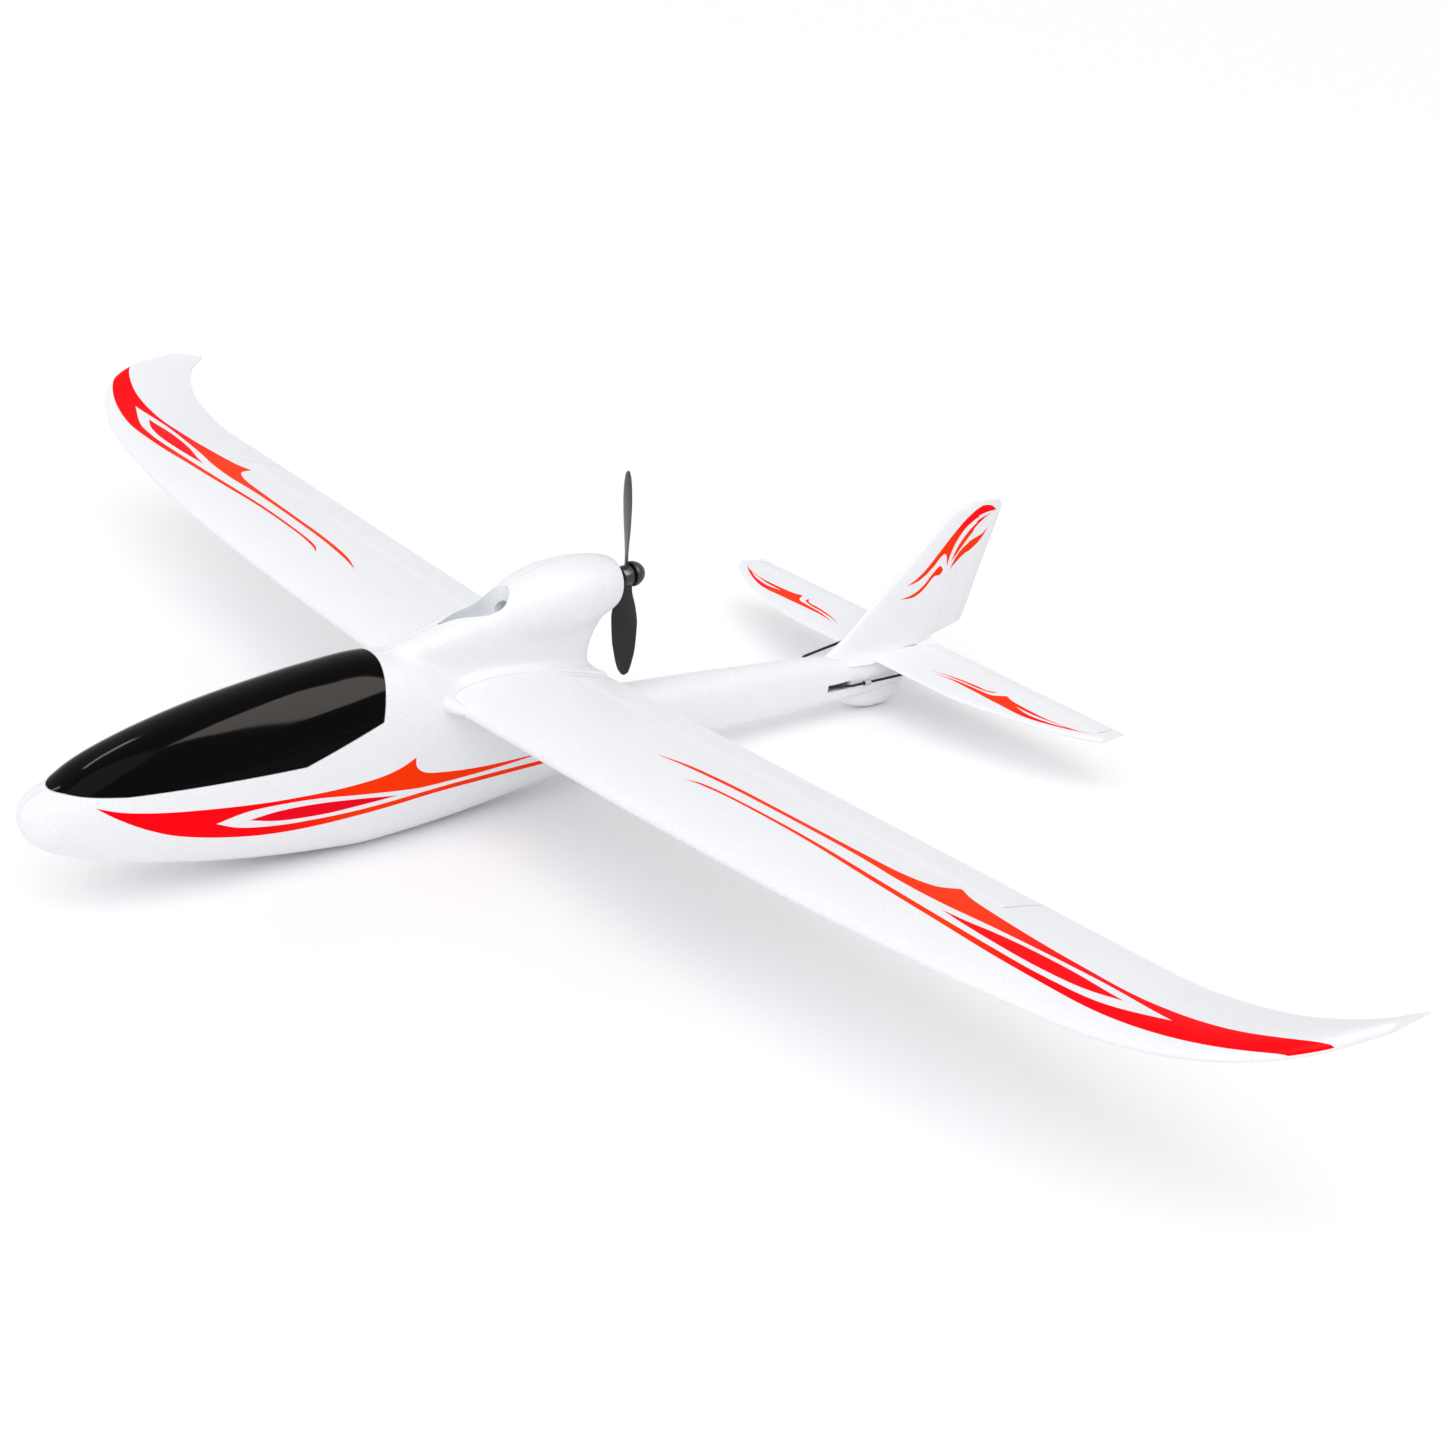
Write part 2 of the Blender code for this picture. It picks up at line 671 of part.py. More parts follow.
for side, mirror in (("left", 1), ("right", -1)):
    panel = wingSolid("wing_" + side, mirror, rootX, halfSpan)
    inner, outer = aileronAxis(mirror)
    line = (outer - inner).normalized()
    low = at(mirror * (aileronInner - runGap), aileronHinge, wingHeight - 20)
    high = at(mirror * (aileronOuter + runGap), aileronHinge + aileronChord + 20, wingHeight + 40)
    middle = (low + high) / 2
    reach = [abs(high[i] - low[i]) / mm for i in range(3)]
    slot = box("slot", middle, reach)
    cove = rod("cove", inner - line * runGap * mm, outer + line * runGap * mm, aileronHalf + runGap)
    cut(panel, slot, cove)
    cut(panel, tube("bore", joinerPoints(gap), joinerRadius + gap, None, 12))
    pin = at(mirror * (rootX - 6), pinStation, wingMid(rootX, pinStation))
    cut(panel, rod("pinBore", pin, pin + spanwise(mirror) * (18 + gap) * mm, pinRadius + gap))
    flapSize = (flapServoLength, flapServoWidth, flapServoHeight)
    axisPoint = flapServoAxis(mirror)
    outward = spanwise(mirror)
    boss = axisPoint - outward * 1.6 * mm
    pocketDrop = Vector((0, 0, -1)) * 6 * mm
    pocket = servoPocket("pocket", boss, outward, Vector((0, 1, 0)), flapSize, flapPocketRise)
    skirt = servoPocket("skirt", boss + pocketDrop, outward, Vector((0, 1, 0)), flapSize, flapPocketRise)
    cut(panel, join(pocket, skirt))
    finish(panel, foam)

    # the aileron: a round nose on the hinge line and a taper to the trailing edge
    rings = []
    noseTurns = 6
    for x in (aileronInner, (aileronInner + aileronOuter) / 2, aileronOuter):
        hingeZ = wingMid(x, aileronHinge)
        ring = []
        for i in range(noseTurns + 1):
            angle = math.pi / 2 + math.pi * i / noseTurns
            back, rise = aileronHalf * math.cos(angle), aileronHalf * math.sin(angle)
            ring.append(at(mirror * x, aileronHinge + back, hingeZ + rise))
        for u, face in ((0.86, -1), (1.0, -1), (1.0, 1), (0.86, 1)):
            px, station, z = wingPoint(x, u, face)
            ring.append(at(mirror * px, station, z))
        rings.append(ring)
    aileron = finish(loft("aileron_" + side, rings), foam)
    setOrigin(aileron, inner)

    servo = servoSolid("aileron_servo_" + side, boss, outward, Vector((0, 1, 0)), flapSize)
    finish(servo, servoPlastic)
    down = hangDown(mirror)
    armMiddle = axisPoint + outward * armStand * mm
    arm = armSolid("aileron_servo_arm_" + side, armMiddle, outward, down, flapArmRadius)
    setOrigin(finish(arm, whitePlastic), axisPoint)
    armHole = armMiddle + down * flapArmRadius * mm
    hornX = flapServoX + armStand + 3.0
    hingePoint = at(mirror * hornX, aileronHinge, wingMid(hornX, aileronHinge))
    hornHole = hingePoint + down * flapArmRadius * mm
    nose = hingePoint - Vector((0, 0, aileronHalf * mm))
    px, station, z = wingPoint(hornX, 0.86, -1)
    along = (at(mirror * px, station, z) - nose).normalized()
    away = along.cross(outward) * mirror
    away = -away if away.z > 0 else away
    hornFoot = nose + (along * 5.2 + away * gap) * mm
    horn = hornSolid("aileron_horn_" + side, hornFoot, along, away, hornHole, 6.0)
    finish(horn, blackPlastic)
    link = [armHole + outward * hookReach * mm, hornHole - outward * hookReach * mm]
    setOrigin(linkRod("aileron_pushrod_" + side, link, outward), armHole)

joiner = tube("wing_joiner", joinerPoints(), joinerRadius, None, 12)
finish(joiner, carbon)
for side, mirror in (("left", 1), ("right", -1)):
    start = at(mirror * (rootX - 5.5), pinStation, wingMid(rootX, pinStation))
    finish(rod("wing_pin_" + side, start, start + spanwise(mirror) * 17 * mm, pinRadius), carbon)


# Tail surfaces

def tailPlan(x):
    """Leading edge station of the tailplane at x; its trailing edge is straight."""
    t = x / tailHalfSpan
    lead = smooth([(0, 0), (0.4, 0.2), (0.7, 9.5), (0.85, 17.5), (0.94, 24.5), (1.0, 31.0)], t)[0]
    return tailStation + lead * tailChord / 48.5


tailRear = tailStation + tailChord
elevatorHinge = tailRear - elevatorChord
elevatorHalf = 1.7  # half the thickness of the elevator's nose
elevatorEdge = 0.45  # half the thickness of its trailing edge
tailShares = [0.0, 0.04, 0.4, 0.6, 0.75, 0.86, 0.94, 1.0]


def tailRing(x, mirror):
    """The fixed tailplane's section, which ends where the elevator's nose begins."""
    lead = tailPlan(abs(x))
    rear = elevatorHinge
    half = tailThickness / 2 * (1 - 0.35 * abs(x) / tailHalfSpan)
    rearHalf = min(elevatorHalf, half)
    ring = []
    profile = [(1.0, rearHalf), (0.7, half), (0.35, half), (0.12, half * 0.72), (0.02, half * 0.35)]
    for share, tall in profile:
        ring.append(at(mirror * x, lead + share * (rear - lead), tailHeight + tall))
    for share, tall in reversed(profile):
        ring.append(at(mirror * x, lead + share * (rear - lead), tailHeight - tall))
    return ring


elevatorOuter = 122.0 * tailHalfSpan / 128.0
elevatorInner = 6.0
hingeMiddle = at(0, elevatorHinge, tailHeight)
xs = [share * tailHalfSpan for share in tailShares]
rings = [tailRing(x, -1) for x in reversed(xs[1:])] + [tailRing(x, 1) for x in xs]
tailplane = loft("tailplane", rings)
tips = []
for mirror in (1, -1):
    # outboard of the elevator the fixed tip runs to the trailing edge
    ringsOut = []
    for x in (elevatorOuter + runGap, tailHalfSpan - 0.35):
        corners = [(elevatorHinge - 3, 1.2), (tailRear, 0.5), (tailRear, -0.5), (elevatorHinge - 3, -1.2)]
        ringsOut.append([at(mirror * x, station, tailHeight + rise) for station, rise in corners])
    tips.append(loft("tip", ringsOut))
coveReach = elevatorOuter + runGap
cove = rod("cove", at(-coveReach, elevatorHinge, tailHeight), at(coveReach, elevatorHinge, tailHeight),
           elevatorHalf + runGap)
cut(join(tailplane, *tips), cove)
finish(tailplane, foam)


def elevatorHalfSolid(name, mirror):
    """One side of the elevator; the two sides are joined by a thin spar behind the fin."""
    rings = []
    for x in (elevatorInner, elevatorOuter):
        half = elevatorHalf if x < 50 else elevatorHalf - 0.35
        ring = []
        for i in range(7):
            angle = math.pi / 2 + math.pi * i / 6
            back, rise = half * math.cos(angle), half * math.sin(angle)
            ring.append(at(mirror * x, elevatorHinge + back, tailHeight + rise))
        ring.append(at(mirror * x, tailRear, tailHeight - elevatorEdge))
        ring.append(at(mirror * x, tailRear, tailHeight + elevatorEdge))
        rings.append(ring)
    return loft(name, rings)


sparReach = elevatorInner + 4
spar = rod("spar", at(-sparReach, elevatorHinge, tailHeight), at(sparReach, elevatorHinge, tailHeight), 1.1)
elevator = join(elevatorHalfSolid("elevator", 1), elevatorHalfSolid("half", -1), spar)
setOrigin(finish(elevator, foam), hingeMiddle)

# The fin and the rudder share a hinge line that leans back
finFoot = tailHeight + tailThickness / 2 + gap
finTop = rudderFoot + finRise
rudderHalf = 1.9  # half the thickness of the rudder's nose
rudderEdge = 0.5  # half the thickness of its trailing edge
rudderThin = 0.45  # how much thinner the rudder is at its top


def rudderStation(z):
    return tailRear + (z - rudderFoot) * rudderRake


def rudderLine(z):
    return at(0, rudderStation(z), z)


rake = Vector((0, rudderRake, 1)).normalized()
finRows = [  # share of the height, leading edge behind the tailplane's, half thickness
    (0.0, -30.0, 4.2), (0.04, -25.0, 3.9), (0.12, -17.5, 3.4), (0.3, -3.0, 3.0), (0.55, 17.0, 2.6),
    (0.8, 37.0, 2.2), (0.93, 48.0, 1.9), (0.975, 54.0, 1.5), (1.0, 62.0, 1.0),
]
rings = []
for share, front, half in finRows:
    z = finFoot + share * (finTop - finFoot)
    lead = tailStation + front
    rear = rudderStation(z)
    ring = []
    rearHalf = min(half, rudderHalf)
    profile = [(1.0, rearHalf), (0.75, half), (0.4, half), (0.14, half * 0.72), (0.02, half * 0.32)]
    for part, wide in profile:
        ring.append(at(wide, lead + part * (rear - lead), z))
    for part, wide in reversed(profile):
        ring.append(at(-wide, lead + part * (rear - lead), z))
    rings.append(ring)
fin = loft("fin", rings)
coveFoot, coveTop = rudderLine(rudderFoot) - rake * 14 * mm, rudderLine(finTop) + rake * 6 * mm
cove = rod("cove", coveFoot, coveTop, rudderHalf + runGap)
cut(fin, cove)
finish(fin, foam)

rudderRows = [  # share of the height, trailing edge behind the hinge line
    (0.0, 3.2), (0.07, rudderChord + 1.0), (0.45, rudderChord - 1.0), (0.9, rudderTopChord + 1.5),
    (rudderTopShare, rudderTopChord), (1.0, rudderTopChord - 3.5),
]
rings = []
for share, chord in rudderRows:
    z = rudderFoot + share * (finTop - rudderFoot)
    half = rudderHalf * (1 - rudderThin * share)
    ring = []
    for i in range(7):
        angle = math.pi / 2 + math.pi * i / 6
        ring.append(at(half * math.sin(angle), rudderStation(z) + half * math.cos(angle), z))
    ring.append(at(-rudderEdge, rudderStation(z) + chord, z))
    ring.append(at(rudderEdge, rudderStation(z) + chord, z))
    rings.append(ring)
rudder = finish(loft("rudder", rings), foam)
setOrigin(rudder, rudderLine(rudderFoot))


# Fuselage

motorBayRadius = motorRadius + 1.4
bellFront = 21.0  # distances forward of the propeller's hub along the thrust line
bellRear = bellFront - (motorLength - 5.5)
baseFront = bellFront + 0.5 + 5.5
mountFront = baseFront + gap + 2.0
bayFront = mountFront + gap
saddleTop = 52.0  # the fuselage is solid foam above this height under the wing
ductHalf = 3.6
leadHalf = 2.9
ductFront = wingStation + 48.0
intakeFront, intakeRear = 179.0, 207.0
intakeHalf = 4.4
intakeFloor = hubHeight - 10.9
magnetHeight = 70.0
tailSeat = tailHeight - tailThickness / 2 - gap
screwStations = (tailStation + 9.0, tailStation + 25.0)

# Pushrod routes. Each rod moves without turning, because the servo's arm and the horn are
# parallel and have the same length.
rakeFore = Vector((0, rake.z, -rake.y))
elevatorRodHeight = tailHeight - armRadius
elevatorServoStation = 196.0
elevatorArmX = 6.7
elevatorHornX = 12.9
elevatorArmHole = at(elevatorArmX, elevatorServoStation, elevatorRodHeight)
elevatorHornHole = at(elevatorHornX, elevatorHinge, elevatorRodHeight)
elevatorExit = tailStation - 25.0
rudderHornHeight = 43.5
rudderServoX = 1.0
rudderServoStation = 226.0
rudderArmHeight = 31.0
rudderArmAxis = at(rudderServoX, rudderServoStation, rudderArmHeight)
rudderArmHole = rudderArmAxis + Vector((-armRadius, 0, 0)) * mm
rudderHornAxis = rudderLine(rudderHornHeight)
rudderHornHole = rudderHornAxis + Vector((-armRadius, 0, 0)) * mm
rudderExit = tailStation - 38.0

elevatorRoute = [
    elevatorArmHole + Vector((hookReach * mm, 0, 0)),
    at(5.6, boomAt(0.28), elevatorRodHeight),
    at(5.3, elevatorExit - 6, elevatorRodHeight),
    at(10.2, elevatorExit + 9, elevatorRodHeight),
    elevatorHornHole - Vector((hookReach * mm, 0, 0)),
]
rudderRoute = [
    rudderArmHole + rake * hookReach * mm,
    at(-4.6, boomAt(0.28), 27.6),
    at(-4.3, rudderExit - 8, 26.4),
    at(-7.4, rudderExit + 3, 31.4),
    rudderHornHole - rake * hookReach * mm,
]
leadPort = motorAxis(mountFront) - Vector((0, 0, 5.4)) * mm
leadRoute = [
    leadPort + thrust * 1.2 * mm,
    leadPort - thrust * 4 * mm,
    at(0, ductFront + 6.5, hubHeight - 16.5),
    at(0, ductFront + 6.0, 58),
    at(0, ductFront - 1, 47),
    at(0, ductFront - 20, 44),
]


def teardrop(name, front, rear, half, low, high):
    """A pointed slot with a round rear end, from one height to another."""
    outline = []
    for i in range(9):
        angle = -math.pi / 2 + math.pi * i / 8
        outline.append((half * math.sin(angle), rear - half + half * math.cos(angle)))
    outline.append((half * 0.62, front + (rear - front) * 0.45))
    outline.append((0.5, front))
    outline.append((-0.5, front))
    outline.append((-half * 0.62, front + (rear - front) * 0.45))
    return loft(name, [[at(x, station, z) for x, station in outline] for z in (low, high)])


body = loft("body", [bodyRing(station) for station in bodyStations])
saddleRings = [wingRing(x, mirror, 1.2) for x, mirror in ((rootX - gap, -1), (0.0, 1), (rootX - gap, 1))]
join(body, loft("saddle", saddleRings), neckSolid("neck"), podSolid("pod"))

hatch = loft("canopy_hatch", [bodyRing(station) for station in bodyStations if station < canopyRear + 30])
keep(hatch, canopyBlock("block", gap))
cut(hatch, hollow("inside", canopyFront + 4, canopyRear - 6, hatchWall, hatchWall))
magnetFront = canopyRear - 0.9 - magnetThick
pocketFront = at(0, magnetFront - gap, magnetHeight)
cut(hatch, rod("magnetPocket", pocketFront, at(0, canopyRear + 12, magnetHeight), magnetRadius + gap))
finish(hatch, blackGloss)
hatchTip = canopyFront
while smooth(bodyRows, hatchTip)[1] > canopySill + 1.5 + gap:
    hatchTip -= 0.1  # the lid's front lip, where the spine drops below the sill
hatchAxis = at(0, hatchTip - gap, canopySill + 1.5)
setOrigin(hatch, hatchAxis)
magnetRear = at(0, magnetFront + magnetThick, magnetHeight)
finish(rod("canopy_magnet", at(0, magnetFront, magnetHeight), magnetRear, magnetRadius), steel)

cavity = hollow("cavity", 24, boomAt(0.93), wall, boomWall)
cut(cavity, span("solidSaddle", (-40, canopyRear + 10.5, saddleTop), (40, 300, 120)))
cut(cavity, span("arch", (-40, canopyRear - 0.4, 58), (40, canopyRear + 11.3, 120)))
cut(body, cavity, canopyBlock("block", 0.0))
cut(body, span("ground", (-60, 60, -20), (60, 260, 0)))
for mirror in (1, -1):
    cut(body, wingSolid("room", mirror, rootX - gap, 60, gap))
    pin = at(mirror * (rootX - 6), pinStation, wingMid(rootX, pinStation))
    cut(body, rod("pinBore", pin, pin + spanwise(mirror) * 12 * mm, pinRadius + gap))
cut(body, tube("bore", joinerPoints(gap), joinerRadius + gap, None, 12))
cut(body, rod("bay", motorAxis(bayFront), motorAxis(-12), motorBayRadius, None, 32))
cut(body, teardrop("intake", intakeFront, intakeRear, intakeHalf, intakeFloor, 120))
ductStart = at(0, intakeRear - 6, intakeFloor + 5.2)
cut(body, rod("airDuct", ductStart, motorAxis(bayFront - 2), ductHalf, None, 20))
cut(body, span("leadRoom", (-2.3, ductFront + 3, hubHeight - 18.7), (2.3, ductFront + 25, hubHeight - 5.9)))
cut(body, span("leadDuct", (-leadHalf, ductFront, 40), (leadHalf, ductFront + 11, hubHeight - 5.6)))
seatFront = at(0, canopyRear + 1.6, magnetHeight)
seatRear = at(0, canopyRear + 1.6 + magnetThick, magnetHeight)
pocketRear = seatRear + Vector((0, gap * mm, 0))
cut(body, rod("magnetPocket", at(0, canopyRear - 4, magnetHeight), pocketRear, magnetRadius + gap))
finish(rod("latch_magnet", seatFront, seatRear, magnetRadius), steel)
cut(body, span("tailSeat", (-20, tailStation - 1.5, tailSeat), (20, tailStation + 60, 60)))
slotHalf = slotGap + rodRadius
elevatorSlot = span("elevatorSlot", (3.0, elevatorExit - 10, elevatorRodHeight - slotHalf),
                    (14, elevatorExit + 14, elevatorRodHeight + slotHalf + 0.7))
rudderSlot = span("rudderSlot", (-14, rudderExit - 9, 25.2), (-2.4, rudderExit + 11.5, 36))
cut(body, elevatorSlot, rudderSlot)
for station in screwStations:
    cut(body, rod("screwBore", at(0, station, -5), at(0, station, 45), screwRadius + gap, None, 12))
    cut(body, rod("headBore", at(0, station, -5), at(0, station, 11), screwHead + gap, None, 16))

for side, mirror in (("left", 1), ("right", -1)):
    half = copyOf(body, "fuselage_" + side)
    away = span("away", (-mirror * 90, -30, -30), (mirror * gap / 2, tailReach + 30, 160))
    combine(half, [away], "DIFFERENCE", "MANIFOLD")
    finish(half, foam)
bpy.data.objects.remove(body, do_unlink=True)


# Tail skid and screws

skidRows = [  # station behind the tailplane's leading edge, lowest height, half width
    (-13, 6.6, 2.0), (-8, 3.9, 4.2), (0, 1.4, 5.6), (8, 0.0, 6.2), (15, 0.0, 6.2), (22, 1.4, 5.6),
    (28, 6.0, 4.0), (30, 9.0, 2.2),
]
skidTop = 14.0
skidSide = [(1.0, 1.0), (1.0, 0.6), (0.88, 0.08), (0.55, 0.0)]  # share of the half width, of the height
rings = []
for back, low, half in skidRows:
    ring = []
    for sign, rows in ((-1, skidSide), (1, reversed(skidSide))):
        for across, rise in rows:
            ring.append(at(sign * across * half, tailStation + back, low + rise * (skidTop - low)))
    rings.append(ring)
skid = loft("tail_skid", rings)
boomSkin = [bodyRing(station, -gap) for station in bodyStations if station > tailStation - 70]
boomSkin.append([point + Vector((0, 8 * mm, 0)) for point in boomSkin[-1]])
cut(skid, loft("boomSkin", boomSkin))
cut(fin, loft("boomSkin", boomSkin))
for station in screwStations:
    cut(skid, rod("headBore", at(0, station, 6.5), at(0, station, 20), screwHead + gap, None, 16))
finish(skid, foam)

screwFoot = 9.2
screwTops = (("tail_screw_front", 41.0), ("tail_screw_rear", 44.0))
for (name, top), station in zip(screwTops, screwStations):
    tall = top - screwFoot
    profile = [(0, screwHead), (1.5, screwHead), (1.5, screwRadius), (tall, screwRadius), (tall + 1.0, 0.4)]
    finish(turned(name, at(0, station, screwFoot), Vector((0, 0, 1)), profile, None, 12), steel)
    for piece in (tailplane, fin):
        bore = rod("screwBore", at(0, station, 8), at(0, station, top + 1.5), screwRadius + gap, None, 12)
        finish(cut(piece, bore), foam)


# Motor, propeller and spinner

across, onward, upright = axes(thrust)
bellLength = bellFront - bellRear
profile = [(0, motorRadius), (bellLength - 1.2, motorRadius), (bellLength, motorRadius - 1.4)]
bell = turned("motor_bell", motorAxis(bellFront), thrust, profile, None, 28)
cut(bell, rod("shaftBore", motorAxis(bellFront + 2), motorAxis(bellRear - 2), shaftRadius + gap, None, 12))
for i in range(4):
    angle = math.pi / 2 * i + math.pi / 4
    offset = (across * math.cos(angle) + upright * math.sin(angle)) * 0.6 * motorRadius * mm
    cut(bell, rod("vent", motorAxis(bellFront + 2) + offset, motorAxis(bellRear - 2) + offset, 1.5, None, 10))
setOrigin(finish(bell, aluminium), motorAxis(0))
flange, stator = motorRadius - 0.6, motorRadius - 2.6
profile = [(0, flange), (1.6, flange), (1.6, stator), (baseFront - bellFront - 0.5, stator)]
base = turned("motor_base", motorAxis(baseFront), thrust, profile, None, 28)
cut(base, rod("shaftBore", motorAxis(baseFront + 2), motorAxis(bellFront - 2), shaftRadius + gap, None, 12))
finish(base, steel)
mount = rod("motor_mount", motorAxis(mountFront), motorAxis(baseFront + gap), motorBayRadius - gap, None, 28)
cut(mount, rod("airHole", motorAxis(mountFront + 2), motorAxis(baseFront - 2), 2.6, None, 16))
leadHole = rod("leadHole", leadPort - thrust * 3 * mm, leadPort + thrust * 6 * mm, leadRadius + 0.5, None, 12)
cut(mount, leadHole)
finish(mount, blackPlastic)
shaft = rod("motor_shaft", motorAxis(baseFront - 0.4), motorAxis(-6.0), shaftRadius, None, 12)
setOrigin(finish(shaft, steel), motorAxis(0))


def bladeSection(radius, chord, twist, pointing):
    """One section of a blade at a distance from the hub, square to the blade's length."""
    side = pointing.cross(thrust).normalized()
    flat = side * math.cos(twist) + thrust * math.sin(twist)
    thick = thrust * math.cos(twist) - side * math.sin(twist)
    depth = 1.9 - 1.1 * radius / propRadius
    ring = []
    for a, t in bladeOutline:
        ring.append(motorAxis(0) + (pointing * radius + flat * a * chord + thick * t * depth) * mm)
    return ring


bladeOutline = [  # shares of the chord and of the depth
    (0.5, 0.0), (0.3, 0.42), (0.0, 0.62), (-0.3, 0.5), (-0.5, 0.0), (-0.3, -0.22), (0.0, -0.34), (0.3, -0.3),
]
bladeRows = [  # share of the radius, chord, twist in degrees
    (0.04, 6.0, 42), (0.15, 6.4, 40), (0.27, 9.6, 33), (0.46, 12.6, 26), (0.67, 12.0, 21), (0.85, 9.2, 17),
    (0.96, 5.8, 15), (1.0, 2.0, 14),
]
hubFront, hubRear = 3.6, -2.4
prop = rod("propeller", motorAxis(hubFront), motorAxis(hubRear), 4.6, None, 24)
for direction in (upright, -upright):
    rows = []
    for share, chord, twist in bladeRows:
        rows.append(bladeSection(share * propRadius, chord, math.radians(twist), direction))
    join(prop, loft("blade", rows))
cut(prop, rod("shaftBore", motorAxis(8), motorAxis(-8), shaftRadius + gap, None, 12))
setOrigin(finish(prop, blackPlastic), motorAxis(0))
domeRows = [(0, 1), (1.2, 1), (3.2, 0.9), (5.2, 0.68), (6.6, 0.36), (7.2, 0.11)]
domeRows = [(distance, share * spinnerRadius) for distance, share in domeRows]
spinner = turned("spinner", motorAxis(hubRear - gap), thrust, domeRows, None, 24)
cut(spinner, rod("shaftBore", motorAxis(0), motorAxis(-6.0 - gap), shaftRadius + gap, None, 12))
setOrigin(finish(spinner, blackPlastic), motorAxis(0))

finish(tube("motor_leads", leadRoute, leadRadius, None, 8), rubber)


# Control linkages

rudderSlope = (rudderHalf - rudderEdge) / rudderChord
surface = Vector((rudderSlope, rakeFore.y, rakeFore.z)).normalized()
away = rake.cross(surface)
away = -away if away.x > 0 else away
share = (rudderHornHeight - rudderFoot) / (finTop - rudderFoot)
rudderSkin = rudderHornAxis + Vector((-rudderHalf * (1 - rudderThin * share), 0, 0)) * mm
rudderHornFoot = rudderSkin + (surface * 5.4 + away * gap) * mm
finish(hornSolid("rudder_horn", rudderHornFoot, surface, away, rudderHornHole), blackPlastic)
elevatorSlope = (elevatorHalf - elevatorEdge) / elevatorChord
surface = Vector((0, 1, elevatorSlope)).normalized()
away = Vector((0, elevatorSlope, -1)).normalized()
elevatorSkin = at(elevatorHornX, elevatorHinge, tailHeight - elevatorHalf)
elevatorHornFoot = elevatorSkin + (surface * 5.0 + away * gap) * mm
finish(hornSolid("elevator_horn", elevatorHornFoot, surface, away, elevatorHornHole), blackPlastic)

servoSize = (servoLength, servoWidth, servoHeight)
elevatorAxis = at(elevatorArmX, elevatorServoStation, tailHeight)
elevatorBoss = elevatorAxis - Vector((armStand, 0, 0)) * mm
servo = servoSolid("elevator_servo", elevatorBoss, Vector((1, 0, 0)), Vector((0, 1, 0)), servoSize)
finish(servo, servoPlastic)
arm = armSolid("elevator_servo_arm", elevatorAxis, Vector((1, 0, 0)), Vector((0, 0, -1)), armRadius)
setOrigin(finish(arm, whitePlastic), elevatorAxis)
rudderBoss = rudderArmAxis - rake * armStand * mm
servo = servoSolid("rudder_servo", rudderBoss, rake, Vector((0, 1, 0)), servoSize)
finish(servo, servoPlastic)
arm = armSolid("rudder_servo_arm", rudderArmAxis, rake, Vector((-1, 0, 0)), armRadius)
setOrigin(finish(arm, whitePlastic), rudderArmAxis)
setOrigin(linkRod("elevator_pushrod", elevatorRoute, Vector((1, 0, 0))), elevatorArmHole)
setOrigin(linkRod("rudder_pushrod", rudderRoute, rake), rudderArmHole)


# Battery, receiver and their holders

def innerHalf(station, z):
    """The half width of the fuselage's inside at a height."""
    low, top, half, wide = smooth(bodyRows, station)
    low, half = low + wall, half - wall
    drop = min(1.0, max(0.0, (wide - z) / (wide - low)))
    return half * (1 - drop**2.25) ** (1 / 2.25)


trayFront, trayRear, trayThick = 70.0, 172.0, 1.4
packFront = 78.0
strapFront, strapRear = packFront + 17, packFront + 29
strapHalf = batteryWidth / 2 + gap
strapDrop = trayThick + gap + strapThick  # from the top of the tray to the foot of the strap
trayTop = 15.9
while innerHalf(strapFront, trayTop - strapDrop) < strapHalf + strapThick + 0.1:
    trayTop += 0.1  # the strap's lower corners stay clear of the foam
trayHalf = min(innerHalf(s, trayTop - trayThick) for s in (trayFront, 90, 110, 130, 150, trayRear)) - 2 * gap
tray = span("battery_tray", (-trayHalf, trayFront, trayTop - trayThick), (trayHalf, trayRear, trayTop))
notchHalf = min(trayHalf - 1.5, batteryWidth / 2 - 1.0)

for mirror in (1, -1):
    notch = span("notch", (mirror * notchHalf, strapFront - gap, 0), (mirror * 40, strapRear + gap, 40))
    cut(tray, notch)
finish(tray, whitePlastic)
packBottom = trayTop + gap
packTop = packBottom + batteryHeight
packCentre = at(0, packFront + batteryLength / 2, packBottom + batteryHeight / 2)
pack = roundedBox("battery_pack", packCentre, (batteryWidth, batteryLength, batteryHeight), 1.4)
finish(pack, batteryWrap)
strapOut = strapHalf + strapThick
loopLow, loopTop = trayTop - trayThick - gap, packTop + gap
strapLow, strapTop = trayTop - strapDrop, loopTop + strapThick
strap = span("battery_strap", (-strapOut, strapFront, strapLow), (strapOut, strapRear, strapTop))
cut(strap, span("loop", (-strapHalf, strapFront - 5, loopLow), (strapHalf, strapRear + 5, loopTop)))
finish(strap, webbing)

leadLength = 5.0
leadHeight = packBottom + 6
plugFront = packFront + batteryLength + leadLength
lead = [at(0, plugFront - leadLength + gap, leadHeight), at(0, plugFront - gap, leadHeight)]
finish(tube("battery_lead", lead, 1.3, None, 8), rubber)
plugSize = (7.0, 6.0, 5.0)
plug = roundedBox("battery_plug", at(0, plugFront + plugSize[1] / 2, leadHeight), plugSize, 0.5)
finish(plug, whitePlastic)

